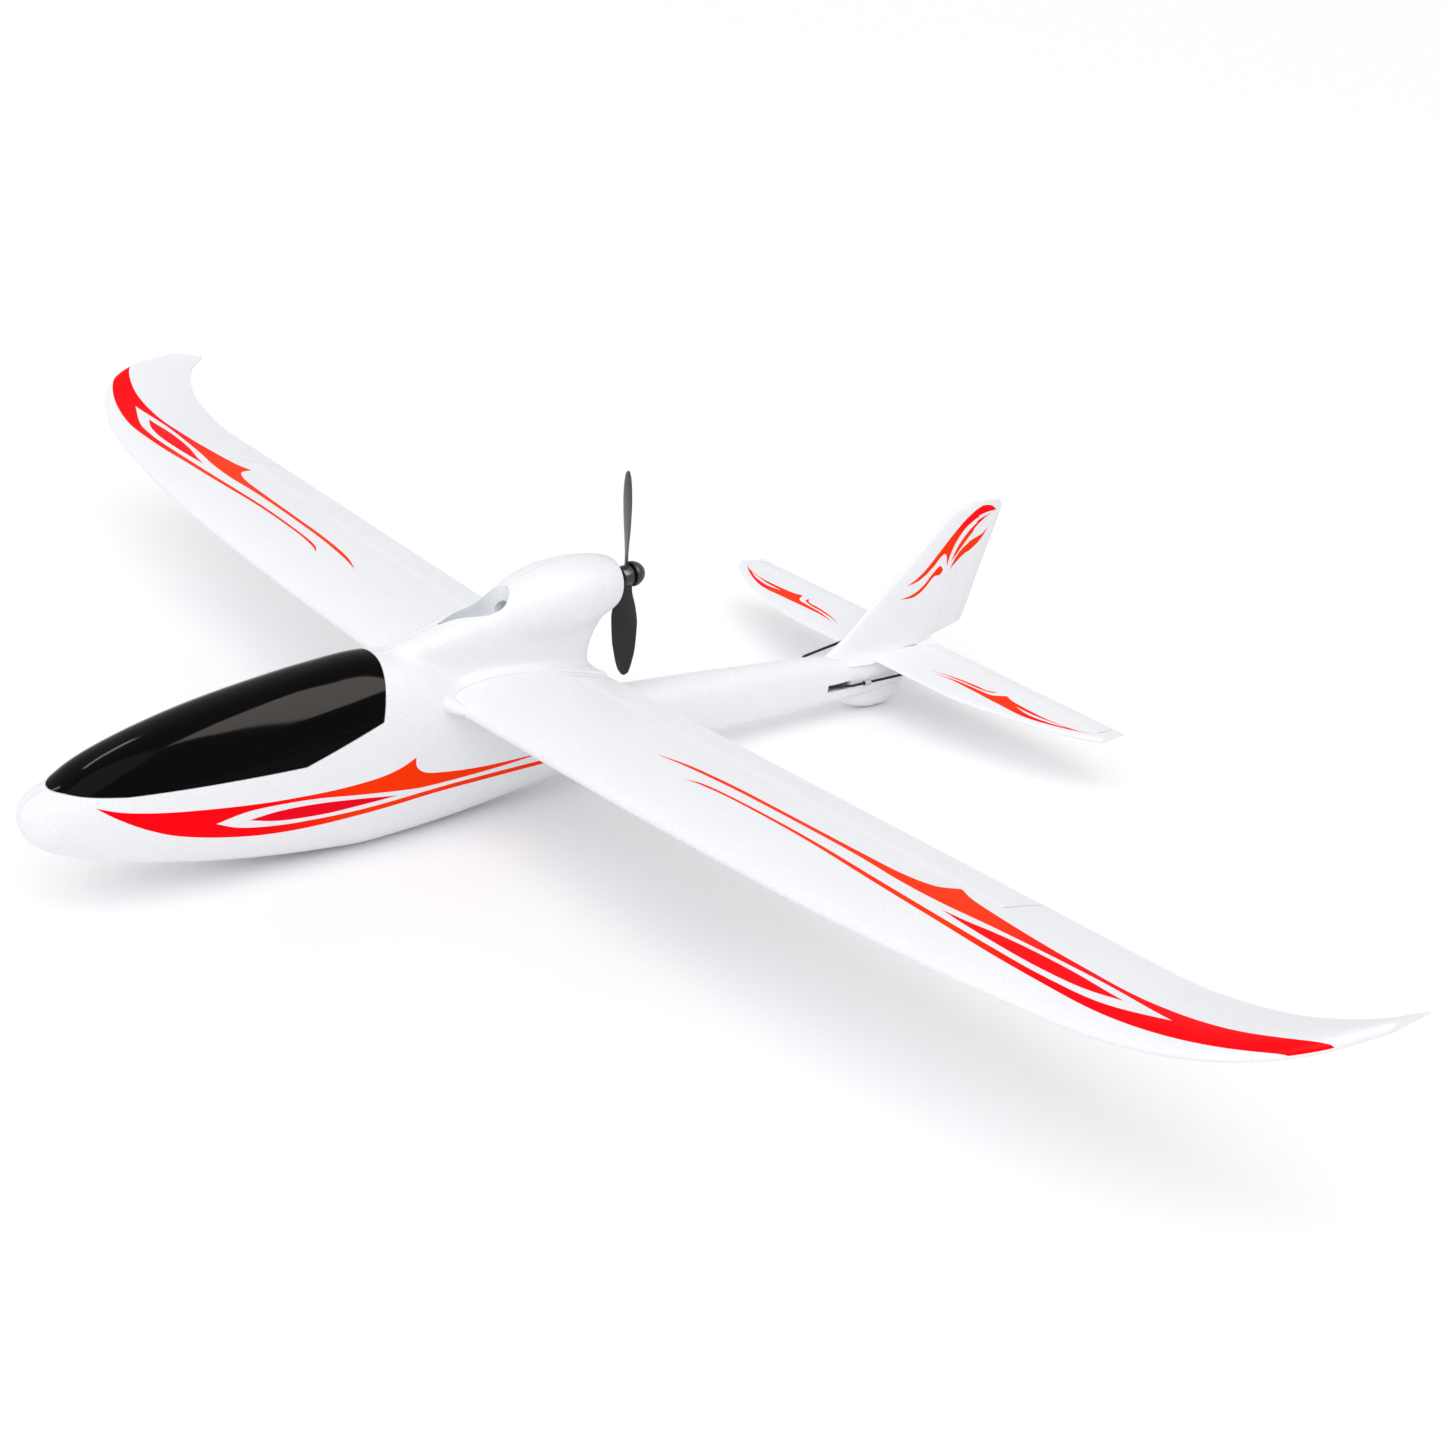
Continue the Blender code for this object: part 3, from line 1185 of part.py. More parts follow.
boardFront = plugFront + plugSize[1] + gap
boardLength, boardHalf, boardThick = 28.0, 10.5, 1.2
boardBottom = trayTop + gap + 1.0
boardTop = boardBottom + boardThick
boardRear = boardFront + boardLength
receiver = span("receiver_board", (-boardHalf, boardFront, boardBottom), (boardHalf, boardRear, boardTop))
socketTop = leadHeight + plugSize[2] / 2
chips = [  # low x, high x, distances behind the board's front edge, height of the top
    (-4.0, 4.0, 0.0, 6.0, socketTop),
    (-7.0, 1.5, 8.0, 17.0, boardTop + 2.0),
    (3.0, 8.5, 9.0, 14.5, boardTop + 1.2),
]
for i in range(4):
    x = -8.4 + 4.6 * i
    chips.append((x, x + 3.4, 20.0, 27.0, boardTop + 4.0))
for low, high, front, rear, top in chips:
    join(receiver, span("chip", (low, boardFront + front, boardTop - 0.7), (high, boardFront + rear, top)))
finish(receiver, board)
pad = span("receiver_pad", (-8, boardFront + 4, trayTop + gap / 2), (8, boardRear - 4, boardBottom - gap / 2))
finish(pad, webbing)

# The servos' cradles stand on the fuselage's floor
cradleTop = tailHeight - servoWidth / 2 - gap
cradleFront = elevatorServoStation + servoWidth / 2 - servoLength
floor = max(smooth(bodyRows, s)[0] for s in (cradleFront, elevatorServoStation + 4)) + wall + 3.0
cradleRear = cradleFront + servoLength - 1
cradle = span("elevator_servo_cradle", (-7, cradleFront + 1, floor), (3, cradleRear, cradleTop))
finish(cradle, whitePlastic)
caseBack = rudderBoss - rake * (bossHeight + servoHeight) * mm
turn = Matrix((Vector((1, 0, 0)), rakeFore, rake)).transposed()
footThick = 1.6
footCentre = caseBack - (rakeFore * (servoLength - servoWidth) / 2 + rake * (gap + footThick / 2)) * mm
foot = box("rudder_servo_cradle", footCentre, (servoWidth - 1, servoLength - 3, footThick), None, turn)
finish(foot, whitePlastic)

# The collar sets the elevator pushrod's length where it leaves the fuselage
start, end = elevatorRoute[3], elevatorRoute[4]
direction = (end - start).normalized()
collar = rod("pushrod_collar", start + direction * 8 * mm, start + direction * 12 * mm, 1.5, None, 16)
cut(collar, rod("bore", start + direction * 6 * mm, start + direction * 14 * mm, rodRadius + gap, None, 12))
finish(collar, aluminium)
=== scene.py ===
# A small foam pusher glider: white bead foam, a gloss black canopy and red to orange flashes.
# Lengths are in millimetres until at() turns them to metres; a station is a distance behind the nose.
import math

import bmesh
import bpy
from mathutils import Matrix, Vector


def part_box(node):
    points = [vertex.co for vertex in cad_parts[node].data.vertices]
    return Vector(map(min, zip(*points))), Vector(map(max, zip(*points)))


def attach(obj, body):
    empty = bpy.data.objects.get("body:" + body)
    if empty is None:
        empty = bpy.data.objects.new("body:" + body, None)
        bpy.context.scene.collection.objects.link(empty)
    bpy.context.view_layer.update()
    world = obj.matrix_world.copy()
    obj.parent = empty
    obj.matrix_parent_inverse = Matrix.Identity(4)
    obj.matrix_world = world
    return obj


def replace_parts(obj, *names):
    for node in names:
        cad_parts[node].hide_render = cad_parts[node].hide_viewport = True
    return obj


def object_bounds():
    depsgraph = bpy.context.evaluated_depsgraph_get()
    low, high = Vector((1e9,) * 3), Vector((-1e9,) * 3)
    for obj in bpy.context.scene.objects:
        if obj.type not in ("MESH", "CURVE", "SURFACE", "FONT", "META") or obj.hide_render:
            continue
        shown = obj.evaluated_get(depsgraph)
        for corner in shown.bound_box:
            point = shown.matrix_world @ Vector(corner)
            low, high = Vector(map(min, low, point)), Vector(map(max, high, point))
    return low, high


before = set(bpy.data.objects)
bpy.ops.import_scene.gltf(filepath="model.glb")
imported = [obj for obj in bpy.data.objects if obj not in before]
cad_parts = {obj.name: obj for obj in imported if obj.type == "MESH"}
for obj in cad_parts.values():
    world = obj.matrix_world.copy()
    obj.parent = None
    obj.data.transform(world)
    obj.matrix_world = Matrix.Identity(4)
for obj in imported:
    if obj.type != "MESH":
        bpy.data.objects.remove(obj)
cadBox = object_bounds()
mm = 0.001
noseStation = 0.4
noseY = cadBox[0].y


def at(x, station, z):
    return Vector((x * mm, noseY + (station - noseStation) * mm, z * mm))


# building and cutting meshes

def newObject(name, bm):
    bmesh.ops.recalc_face_normals(bm, faces=bm.faces)
    mesh = bpy.data.meshes.new(name)
    bm.to_mesh(mesh)
    bm.free()
    obj = bpy.data.objects.new(name, mesh)
    bpy.context.scene.collection.objects.link(obj)
    return obj


def loft(name, rings):  # skins rings of equal length and caps both ends
    bm = bmesh.new()
    rows = [[bm.verts.new(point) for point in ring] for ring in rings]
    count = len(rows[0])
    for near, far in zip(rows, rows[1:]):
        for i in range(count):
            j = (i + 1) % count
            bm.faces.new((near[i], near[j], far[j], far[i]))
    bm.faces.new(rows[0])
    bm.faces.new(rows[-1])
    return newObject(name, bm)


def block(name, a, b):  # a block between two corners, used only to cut
    bm = bmesh.new()
    bmesh.ops.create_cube(bm, size=1.0)
    scale = Matrix.Diagonal((*[abs(b[i] - a[i]) for i in range(3)], 1.0))
    bmesh.ops.transform(bm, matrix=Matrix.Translation((a + b) / 2) @ scale, verts=bm.verts)
    return newObject(name, bm)


def span(name, low, high):
    return block(name, at(*low), at(*high))


def turned(name, start, along, profile, segments=48):  # profile rows are (distance, radius)
    side = Vector((1, 0, 0)) if abs(along.x) < 0.9 else Vector((0, 0, 1))
    across = (side - along * side.dot(along)).normalized()
    up = across.cross(along)
    rings = []
    for distance, radius in profile:
        ring = []
        for i in range(segments):
            angle = 2 * math.pi * i / segments
            spoke = across * math.cos(angle) + up * math.sin(angle)
            ring.append(start + (along * distance + spoke * radius) * mm)
        rings.append(ring)
    return loft(name, rings)


def rod(name, start, end, radius, segments=40):
    reach = (end - start).length / mm
    return turned(name, start, (end - start).normalized(), [(0, radius), (reach, radius)], segments)


def settle(obj):  # keeps the evaluated mesh and drops the modifiers
    graph = bpy.context.evaluated_depsgraph_get()
    graph.update()
    mesh = bpy.data.meshes.new_from_object(obj.evaluated_get(graph))
    obj.modifiers.clear()
    obj.data = mesh
    return obj


def carve(obj, others, how="DIFFERENCE", keepCutter=False):
    for other in others:
        step = obj.modifiers.new(how, "BOOLEAN")
        step.operation = how
        step.solver = "MANIFOLD"
        step.object = other
        settle(obj)
        if not keepCutter:
            bpy.data.objects.remove(other, do_unlink=True)
    return obj


def copyOf(obj, name):
    twin = obj.copy()
    twin.data = obj.data.copy()
    twin.name = name
    bpy.context.scene.collection.objects.link(twin)
    return twin


def shade(obj, sharp=38):
    for face in obj.data.polygons:
        face.use_smooth = True
    obj.data.set_sharp_from_angle(angle=math.radians(sharp))
    return obj


def smooth(rows, t):  # a curve through rows (t, a, b, ...) that never overshoots
    last = len(rows) - 1
    if t <= rows[0][0]:
        return rows[0][1:]
    if t >= rows[last][0]:
        return rows[last][1:]
    i = next(k for k in range(last) if rows[k + 1][0] >= t)
    h = rows[i + 1][0] - rows[i][0]
    u = (t - rows[i][0]) / h
    values = []
    for c in range(1, len(rows[0])):
        slopes = []
        for k in (i, i + 1):
            sides = []
            for a, b in ((k - 1, k), (k, k + 1)):
                if a >= 0 and b <= last:
                    sides.append((rows[b][c] - rows[a][c]) / (rows[b][0] - rows[a][0]))
            if len(sides) == 1:
                slopes.append(sides[0])
            elif sides[0] * sides[1] <= 0:
                slopes.append(0.0)
            else:
                slopes.append(2 * sides[0] * sides[1] / (sides[0] + sides[1]))
        y0, y1 = rows[i][c], rows[i + 1][c]
        values.append(y0 * (1 + 2 * u) * (1 - u) ** 2 + slopes[0] * h * u * (1 - u) ** 2
                      + y1 * u * u * (3 - 2 * u) + slopes[1] * h * u * u * (u - 1))
    return values


# colours, nodes and finishes

def colour(text):  # an sRGB hex value as linear RGBA
    parts = [int(text[i:i + 2], 16) / 255 for i in (1, 3, 5)]
    parts = [c / 12.92 if c <= 0.04045 else ((c + 0.055) / 1.055) ** 2.4 for c in parts]
    return (*parts, 1.0)


def addNode(tree, kind, settings=None, inputs=None):
    node = tree.nodes.new(kind)
    for key, value in (settings or {}).items():
        setattr(node, key, value)
    for key, value in (inputs or {}).items():
        if isinstance(value, bpy.types.NodeSocket):
            tree.links.new(value, node.inputs[key])
        else:
            node.inputs[key].default_value = value
    return node


def startMaterial(name, sockets):
    mat = bpy.data.materials.new(name)
    mat.use_nodes = True
    tree = mat.node_tree
    shader = tree.nodes["Principled BSDF"]
    for key, value in sockets.items():
        shader.inputs[key].default_value = value
    place = addNode(tree, "ShaderNodeTexCoord").outputs["Object"]
    return mat, tree, shader, place


foamLook = {
    "white": "#f3f4f7",
    "shade": "#ebedf1",
    "bead": 2.2,  # mm, the size of one expanded bead
    "grain": 0.7,  # mm, the dimples left by the tool
    "relief": 0.10,  # mm
}


def foamMaterial(name, look):
    # EPO foam, steam moulded: a soft satin white with its beads just showing through the skin
    mat, tree, shader, place = startMaterial(name, {"Specular IOR Level": 0.35, "IOR": 1.45})
    beads = addNode(tree, "ShaderNodeTexVoronoi", {"feature": "DISTANCE_TO_EDGE"},
                    {"Vector": place, "Scale": 1000 / look["bead"]})
    seams = addNode(tree, "ShaderNodeMapRange", None, {"Value": beads.outputs["Distance"], "From Max": 0.12})
    grain = addNode(tree, "ShaderNodeTexNoise", None,
                    {"Vector": place, "Scale": 1000 / look["grain"], "Detail": 3.0, "Roughness": 0.6})
    cloud = addNode(tree, "ShaderNodeTexNoise", None, {"Vector": place, "Scale": 60.0, "Detail": 3.0})
    tone = addNode(tree, "ShaderNodeMath", {"operation": "MULTIPLY"},
                   {0: seams.outputs["Result"], 1: cloud.outputs["Fac"]})
    blend = addNode(tree, "ShaderNodeMix", {"data_type": "RGBA"},
                    {"Factor": tone.outputs["Value"], "A": colour(look["shade"]), "B": colour(look["white"])})
    tree.links.new(blend.outputs["Result"], shader.inputs["Base Color"])
    rough = addNode(tree, "ShaderNodeMapRange", None,
                    {"Value": grain.outputs["Fac"], "To Min": 0.42, "To Max": 0.62})
    tree.links.new(rough.outputs["Result"], shader.inputs["Roughness"])
    height = addNode(tree, "ShaderNodeMath", {"operation": "MULTIPLY_ADD"},
                     {0: grain.outputs["Fac"], 1: 0.35, 2: seams.outputs["Result"]})
    bump = addNode(tree, "ShaderNodeBump", None,
                   {"Strength": 0.4, "Distance": look["relief"] * mm, "Height": height.outputs["Value"]})
    tree.links.new(bump.outputs["Normal"], shader.inputs["Normal"])
    return mat


def flashMaterial(name, axis, start, end, fromHex, toHex):
    # screen printed ink on foam: flat satin colour that runs from red to orange along one axis
    mat, tree, shader, place = startMaterial(
        name, {"Roughness": 0.45, "IOR": 1.5, "Specular IOR Level": 0.03})
    parts = addNode(tree, "ShaderNodeSeparateXYZ", None, {"Vector": place})
    reach = addNode(tree, "ShaderNodeMath", {"operation": "ABSOLUTE"}, {0: parts.outputs[axis]})
    value = reach.outputs["Value"] if axis == "X" else parts.outputs[axis]
    share = addNode(tree, "ShaderNodeMapRange", {"interpolation_type": "SMOOTHSTEP"},
                    {"Value": value, "From Min": start, "From Max": end})
    ink = addNode(tree, "ShaderNodeMix", {"data_type": "RGBA"},
                  {"Factor": share.outputs["Result"], "A": colour(fromHex), "B": colour(toHex)})
    tree.links.new(ink.outputs["Result"], shader.inputs["Base Color"])
    grain = addNode(tree, "ShaderNodeTexNoise", None, {"Vector": place, "Scale": 1000 / 0.7, "Detail": 2.0})
    bump = addNode(tree, "ShaderNodeBump", None,
                   {"Strength": 0.12, "Distance": 0.05 * mm, "Height": grain.outputs["Fac"]})
    tree.links.new(bump.outputs["Normal"], shader.inputs["Normal"])
    return mat


def surfaceMaterial(name, look):
    # a plain moulded, turned or woven finish: two close tones, a roughness range and a fine relief
    mat, tree, shader, place = startMaterial(name, look["sockets"])
    kind = look.get("pattern", "noise")
    if kind == "weave":
        wave = addNode(tree, "ShaderNodeTexWave", {"bands_direction": "DIAGONAL"},
                       {"Vector": place, "Scale": 1000 / look["size"] / 6.3, "Distortion": 0.6})
        pattern = wave.outputs["Fac"]
    elif kind == "turned":
        wave = addNode(tree, "ShaderNodeTexWave", {"bands_direction": "Y"},
                       {"Vector": place, "Scale": 1000 / look["size"] / 6.3, "Distortion": 0.3})
        pattern = wave.outputs["Fac"]
    else:
        grain = addNode(tree, "ShaderNodeTexNoise", None,
                        {"Vector": place, "Scale": 1000 / look["size"], "Detail": 3.0})
        pattern = grain.outputs["Fac"]
    tones = addNode(tree, "ShaderNodeMix", {"data_type": "RGBA"},
                    {"Factor": pattern, "A": colour(look["dark"]), "B": colour(look["light"])})
    tree.links.new(tones.outputs["Result"], shader.inputs["Base Color"])
    rough = addNode(tree, "ShaderNodeMapRange", None,
                    {"Value": pattern, "To Min": look["rough"][0], "To Max": look["rough"][1]})
    tree.links.new(rough.outputs["Result"], shader.inputs["Roughness"])
    bump = addNode(tree, "ShaderNodeBump", None,
                   {"Strength": look["strength"], "Distance": look["relief"] * mm, "Height": pattern})
    tree.links.new(bump.outputs["Normal"], shader.inputs["Normal"])
    return mat


finishes = {
    # vacuum formed polycarbonate, painted inside: deep black with a clean mirror gloss
    "gloss black polycarbonate": {"sockets": {"IOR": 1.45, "Specular IOR Level": 0.06},
                                  "dark": "#030303", "light": "#050505", "size": 9.0, "rough": (0.07, 0.10),
                                  "strength": 0.02, "relief": 0.05},
    # injection moulded nylon: black with a faint satin grain
    "satin black nylon": {"sockets": {"IOR": 1.53}, "dark": "#0e0e10", "light": "#17171a", "size": 0.5,
                          "rough": (0.28, 0.42), "strength": 0.15, "relief": 0.03},
    "natural white nylon": {"sockets": {"IOR": 1.53}, "dark": "#dcdcd8", "light": "#e8e8e4", "size": 0.5,
                            "rough": (0.35, 0.48), "strength": 0.12, "relief": 0.03},
    # tinted ABS: a dark blue servo case with sharp moulded edges
    "tinted blue ABS": {"sockets": {"IOR": 1.53}, "dark": "#1b3566", "light": "#234480", "size": 0.6,
                        "rough": (0.22, 0.34), "strength": 0.08, "relief": 0.03},
    "bright zinc steel": {"sockets": {"Metallic": 1.0}, "dark": "#9a9ca0", "light": "#b9bbc0", "size": 0.4,
                          "rough": (0.25, 0.4), "strength": 0.1, "relief": 0.02},
    # spring steel wire, black oxide: near black with a low metal sheen
    "black oxide spring wire": {"sockets": {"Metallic": 1.0}, "dark": "#2a2a2c", "light": "#3c3c40",
                                "size": 0.4, "rough": (0.3, 0.45), "strength": 0.1, "relief": 0.02},
    "turned aluminium": {"sockets": {"Metallic": 1.0}, "dark": "#b4b6ba", "light": "#d2d4d8", "size": 0.35,
                         "rough": (0.22, 0.36), "strength": 0.12, "relief": 0.02, "pattern": "turned"},
    "pultruded carbon tube": {"sockets": {"IOR": 1.5}, "dark": "#121214", "light": "#212124", "size": 0.8,
                              "rough": (0.3, 0.45), "strength": 0.1, "relief": 0.03, "pattern": "turned"},
    "blue shrink film": {"sockets": {"IOR": 1.5, "Coat Weight": 0.3}, "dark": "#1a4f9c", "light": "#2160b4",
                         "size": 6.0, "rough": (0.18, 0.3), "strength": 0.2, "relief": 0.15},
    # hook and loop webbing: the threads are drawn a little coarse so that they show
    "woven black webbing": {"sockets": {"Sheen Weight": 0.4}, "dark": "#101012", "light": "#26262a",
                            "size": 0.9, "rough": (0.8, 0.95), "strength": 0.6, "relief": 0.2,
                            "pattern": "weave"},
    # double sided tape on a thin cut foam core: soft, matt and full of small cells
    "white closed cell foam tape": {"sockets": {"IOR": 1.45}, "dark": "#cfd0d2", "light": "#e4e5e7",
                                    "size": 0.5, "rough": (0.75, 0.9), "strength": 0.4, "relief": 0.08},
    "green solder mask": {"sockets": {"IOR": 1.5}, "dark": "#0d4a2a", "light": "#146338", "size": 1.6,
                          "rough": (0.25, 0.4), "strength": 0.15, "relief": 0.05},
    "black silicone sleeve": {"sockets": {"IOR": 1.41}, "dark": "#151517", "light": "#1f1f22", "size": 0.5,
                              "rough": (0.5, 0.62), "strength": 0.1, "relief": 0.03},
}
materials = {name: surfaceMaterial(name, look) for name, look in finishes.items()}
foam = foamMaterial("moulded EPO bead foam", foamLook)
red, orange, crimson = "#ff0010", "#ff3600", "#ee0020"
wingInk = flashMaterial("red to orange ink on the wing", "X", 0.258, 0.300, orange, red)
sliverInk = flashMaterial("deep red ink on the slivers", "Z", 0.02, 0.075, crimson, red)
tailInk = flashMaterial("red to orange ink on the tailplane", "X", 0.080, 0.100, orange, red)
sideInk = flashMaterial("red to orange ink on the fuselage", "Y", noseY + 0.085, noseY + 0.135, red, orange)
finInk = flashMaterial("red to orange ink on the fin", "Z", 0.082, 0.094, orange, red)
print("materials made")


# printed flashes: each is a list of strokes, smooth inside a stroke and cornered at its ends

def strokePoints(strokes, steps=10):
    outline = []
    for stroke in strokes:
        count = len(stroke)
        for i in range(count - 1):
            p1, p2 = Vector(stroke[i]), Vector(stroke[i + 1])
            p0 = Vector(stroke[i - 1]) if i else p1 * 2 - p2
            p3 = Vector(stroke[i + 2]) if i + 2 < count else p2 * 2 - p1
            for k in range(steps):
                u = k / steps
                outline.append((p1 * 2 + (p2 - p0) * u + (p0 * 2 - p1 * 5 + p2 * 4 - p3) * u * u
                                + (p1 * 3 - p0 - p2 * 3 + p3) * u ** 3) / 2)
    return outline


def prism(name, strokes, place):  # place(a, b, end) gives the near and the far copy of a point
    outline = strokePoints(strokes)
    return loft(name, [[place(p.x, p.y, end) for p in outline] for end in (0, 1)])


def printOn(obj, cutters, inks, faces):
    # the foam under each flash is cut out and put back with ink on its outer faces
    chips = []
    for cutter in cutters:
        chips.append(carve(copyOf(obj, "chip"), [cutter], "INTERSECT", keepCutter=True))
        carve(obj, [cutter])
    bm = bmesh.new()
    bm.from_mesh(obj.data)
    for face in bm.faces:
        face.material_index = 0
    for i, chip in enumerate(chips):
        start = len(bm.faces)
        bm.from_mesh(chip.data)
        bm.faces.ensure_lookup_table()
        for face in bm.faces[start:]:
            face.material_index = 1 + i % len(inks) if faces(face.normal) else 0
        bpy.data.objects.remove(chip, do_unlink=True)
    obj.data.materials.clear()
    for mat in [foam, *inks]:
        obj.data.materials.append(mat)
    bm.to_mesh(obj.data)
    bm.free()
    return obj


def setFoam(obj):
    obj.data.materials.clear()
    obj.data.materials.append(foam)
    return obj


# the wing panels and their ailerons

wing = {
    "halfSpan": 390.0, "station": 171.0, "chord": 84.0, "rootX": 15.0, "height": 54.8,
    "incidence": 0.040, "dihedral": 0.040, "curl": 17.0, "curlStart": 312.0, "thickness": 0.125,
    "flap": 23.0, "flapInner": 20.0, "flapOuter": 259.0,
}
gap, runGap = 0.3, 0.45
hinge = wing["station"] + wing["chord"] - wing["flap"]


def wingPlan(x):
    t = (x - wing["rootX"]) / (wing["halfSpan"] - wing["rootX"])
    lead = smooth([(0, 0), (0.25, 0.8), (0.5, 4.5), (0.66, 11), (0.77, 18), (0.86, 26),
                   (0.91, 33), (0.95, 43), (0.98, 58), (1.0, 82)], t)[0]
    trail = smooth([(0, 0), (0.8, 0), (0.91, 2.5), (0.95, 7), (0.98, 14), (1.0, 23.5)], t)[0]
    over = max(0.0, (x - wing["curlStart"]) / (wing["halfSpan"] * 0.2))
    rise = wing["dihedral"] * x + wing["curl"] * over * over
    return wing["station"] + lead, wing["station"] + wing["chord"] + trail, wing["height"] + rise


def foilHalf(u, chord):
    shape = 0.2969 * math.sqrt(u) - 0.126 * u - 0.3516 * u**2 + 0.2843 * u**3 - 0.1015 * u**4
    return 5 * wing["thickness"] * shape * chord + 0.45 * u


def foilCamber(u, chord):
    crest, lift = 0.4, 0.035
    if u < crest:
        return chord * lift / crest**2 * (2 * crest * u - u * u)
    return chord * lift / (1 - crest) ** 2 * (1 - 2 * crest + 2 * crest * u - u * u)


def wingPoint(x, u, side, grow=0.0):
    lead, trail, rear = wingPlan(x)
    chord = trail - lead
    z = rear + wing["incidence"] * chord * (1 - u) + foilCamber(u, chord)
    return x, lead + u * chord, z + side * (foilHalf(u, chord) + grow)


foilSteps = [(1 - math.cos(math.pi * i / 30)) / 2 for i in range(31)]


def wingRing(x, mirror, grow=0.0):
    ring = []
    for side, steps in ((1, foilSteps[::-1]), (-1, foilSteps[1:])):
        for u in steps:
            px, station, z = wingPoint(x, u, side, grow)
            shift = grow if u > 0.97 else (-grow if u < 0.003 else 0.0)
            ring.append(at(mirror * px, station + shift, z))
    return ring


def wingSolid(name, mirror, inner, outer, grow=0.0, count=90):
    xs = [inner + (outer - inner) * math.sin(math.pi / 2 * i / count) for i in range(count + 1)]
    return loft(name, [wingRing(x, mirror, grow) for x in xs])


def wingMid(x, station):
    lead, trail, rear = wingPlan(x)
    chord = trail - lead
    u = (station - lead) / chord
    return rear + wing["incidence"] * chord * (1 - u) + foilCamber(u, chord)


flapHalf = foilHalf(1 - wing["flap"] / wing["chord"], wing["chord"])
wingFlash = [[  # x from the centre line and station
    [(106, 203.5), (122, 209), (146, 212), (178, 213.2), (208, 214.2), (226, 215.4),
     (238, 219.5), (243, 228)],
    [(243, 228), (254, 223.8), (283, 220.5), (309, 219.8), (334, 219.8), (354, 221), (370, 225), (381, 230.5),
     (389, 238)],
    [(389, 238), (383, 227), (374, 218), (361, 210.8), (343, 205.2), (318, 201), (285, 199), (258, 199.4),
     (226, 200.4), (190, 202.4), (156, 202), (138, 200), (130, 197.5)],
    [(130, 197.5), (138, 201.6), (156, 203.6), (190, 204.4), (226, 203), (258, 202.2), (285, 202.2),
     (302, 203.2), (320, 206.2), (341, 214)],
    [(341, 214), (320, 217), (303, 216.6), (272, 213.6), (250, 210.5), (231, 209.6), (208, 210.8),
     (178, 210.6), (146, 209.4), (122, 206.8), (106, 203.5)],
], [
    [(252, 206.5), (262, 208), (275, 211), (290, 213), (306, 213.8), (324, 213)],
    [(324, 213), (311, 208), (296, 205.6), (280, 205), (265, 205.4), (252, 206.5)],
]]


def inkUp(normal):
    return normal.z > 0.3


servoRoom = {"armReach": 6.6, "below": 12.0}  # the arm's swing, and down through the skin
knuckle = {  # the swelling at the front of each wing root
    "station": 170.2, "height": 60.0, "sweep": 0.1,
    "profile": [(0, 2.9), (3, 3.3), (6, 3.1), (9, 2.5), (12, 1.7), (14, 0.5)],
}
for side, mirror in (("left", 1), ("right", -1)):
    panel = wingSolid("wingPanel-" + side, mirror, wing["rootX"], wing["halfSpan"])
    slotLow = (mirror * (wing["flapInner"] - runGap), hinge, wing["height"] - 20)
    slotHigh = (mirror * (wing["flapOuter"] + runGap), hinge + 60, wing["height"] + 40)
    ends = [at(mirror * x, hinge, wingMid(x, hinge)) for x in (wing["flapInner"], wing["flapOuter"])]
    line = (ends[1] - ends[0]).normalized() * runGap * mm
    cove = rod("cove", ends[0] - line, ends[1] + line, flapHalf + runGap)
    carve(panel, [span("slot", slotLow, slotHigh), cove])
    low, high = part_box("aileron_servo_" + side)
    roomLow = Vector((low.x - gap * mm, low.y - gap * mm, low.z - servoRoom["below"] * mm))
    roomHigh = Vector((high.x + gap * mm, high.y + gap * mm, high.z + gap * mm))
    if mirror > 0:
        roomHigh.x += servoRoom["armReach"] * mm
    else:
        roomLow.x -= servoRoom["armReach"] * mm
    carve(panel, [block("room", roomLow, roomHigh)])
    outward = Vector((mirror, knuckle["sweep"], 0)).normalized()
    foot = at(mirror * wing["rootX"], knuckle["station"], knuckle["height"])
    carve(panel, [turned("knuckle", foot, outward, knuckle["profile"], 32)], "UNION")
    setFoam(panel)
    cutters = []
    for strokes in wingFlash:
        cutters.append(prism("flash", strokes, lambda x, s, end: at(mirror * x, s, 50 + 70 * end)))
    printOn(panel, cutters, [wingInk, sliverInk], inkUp)
    shade(panel)
    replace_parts(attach(panel, "airframe"), "wing_" + side)

    rings = []  # the aileron's round nose and its taper
    for i in range(25):
        x = wing["flapInner"] + (wing["flapOuter"] - wing["flapInner"]) * i / 24
        z0 = wingMid(x, hinge)
        ring = []
        for k in range(13):
            angle = math.pi / 2 + math.pi * k / 12
            ring.append(at(mirror * x, hinge + flapHalf * math.cos(angle), z0 + flapHalf * math.sin(angle)))
        rear = (0.8, 0.87, 0.94, 1.0)
        for u, face in [(u, -1) for u in rear] + [(u, 1) for u in rear[::-1]]:
            px, station, z = wingPoint(x, u, face)
            ring.append(at(mirror * px, station, z))
        rings.append(ring)
    flap = shade(setFoam(loft("aileronFoam-" + side, rings)))
    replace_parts(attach(flap, "aileron_surface_" + side), "aileron_" + side)
print("wing made")


# the fuselage halves, with the pylon and the motor pod, and the canopy

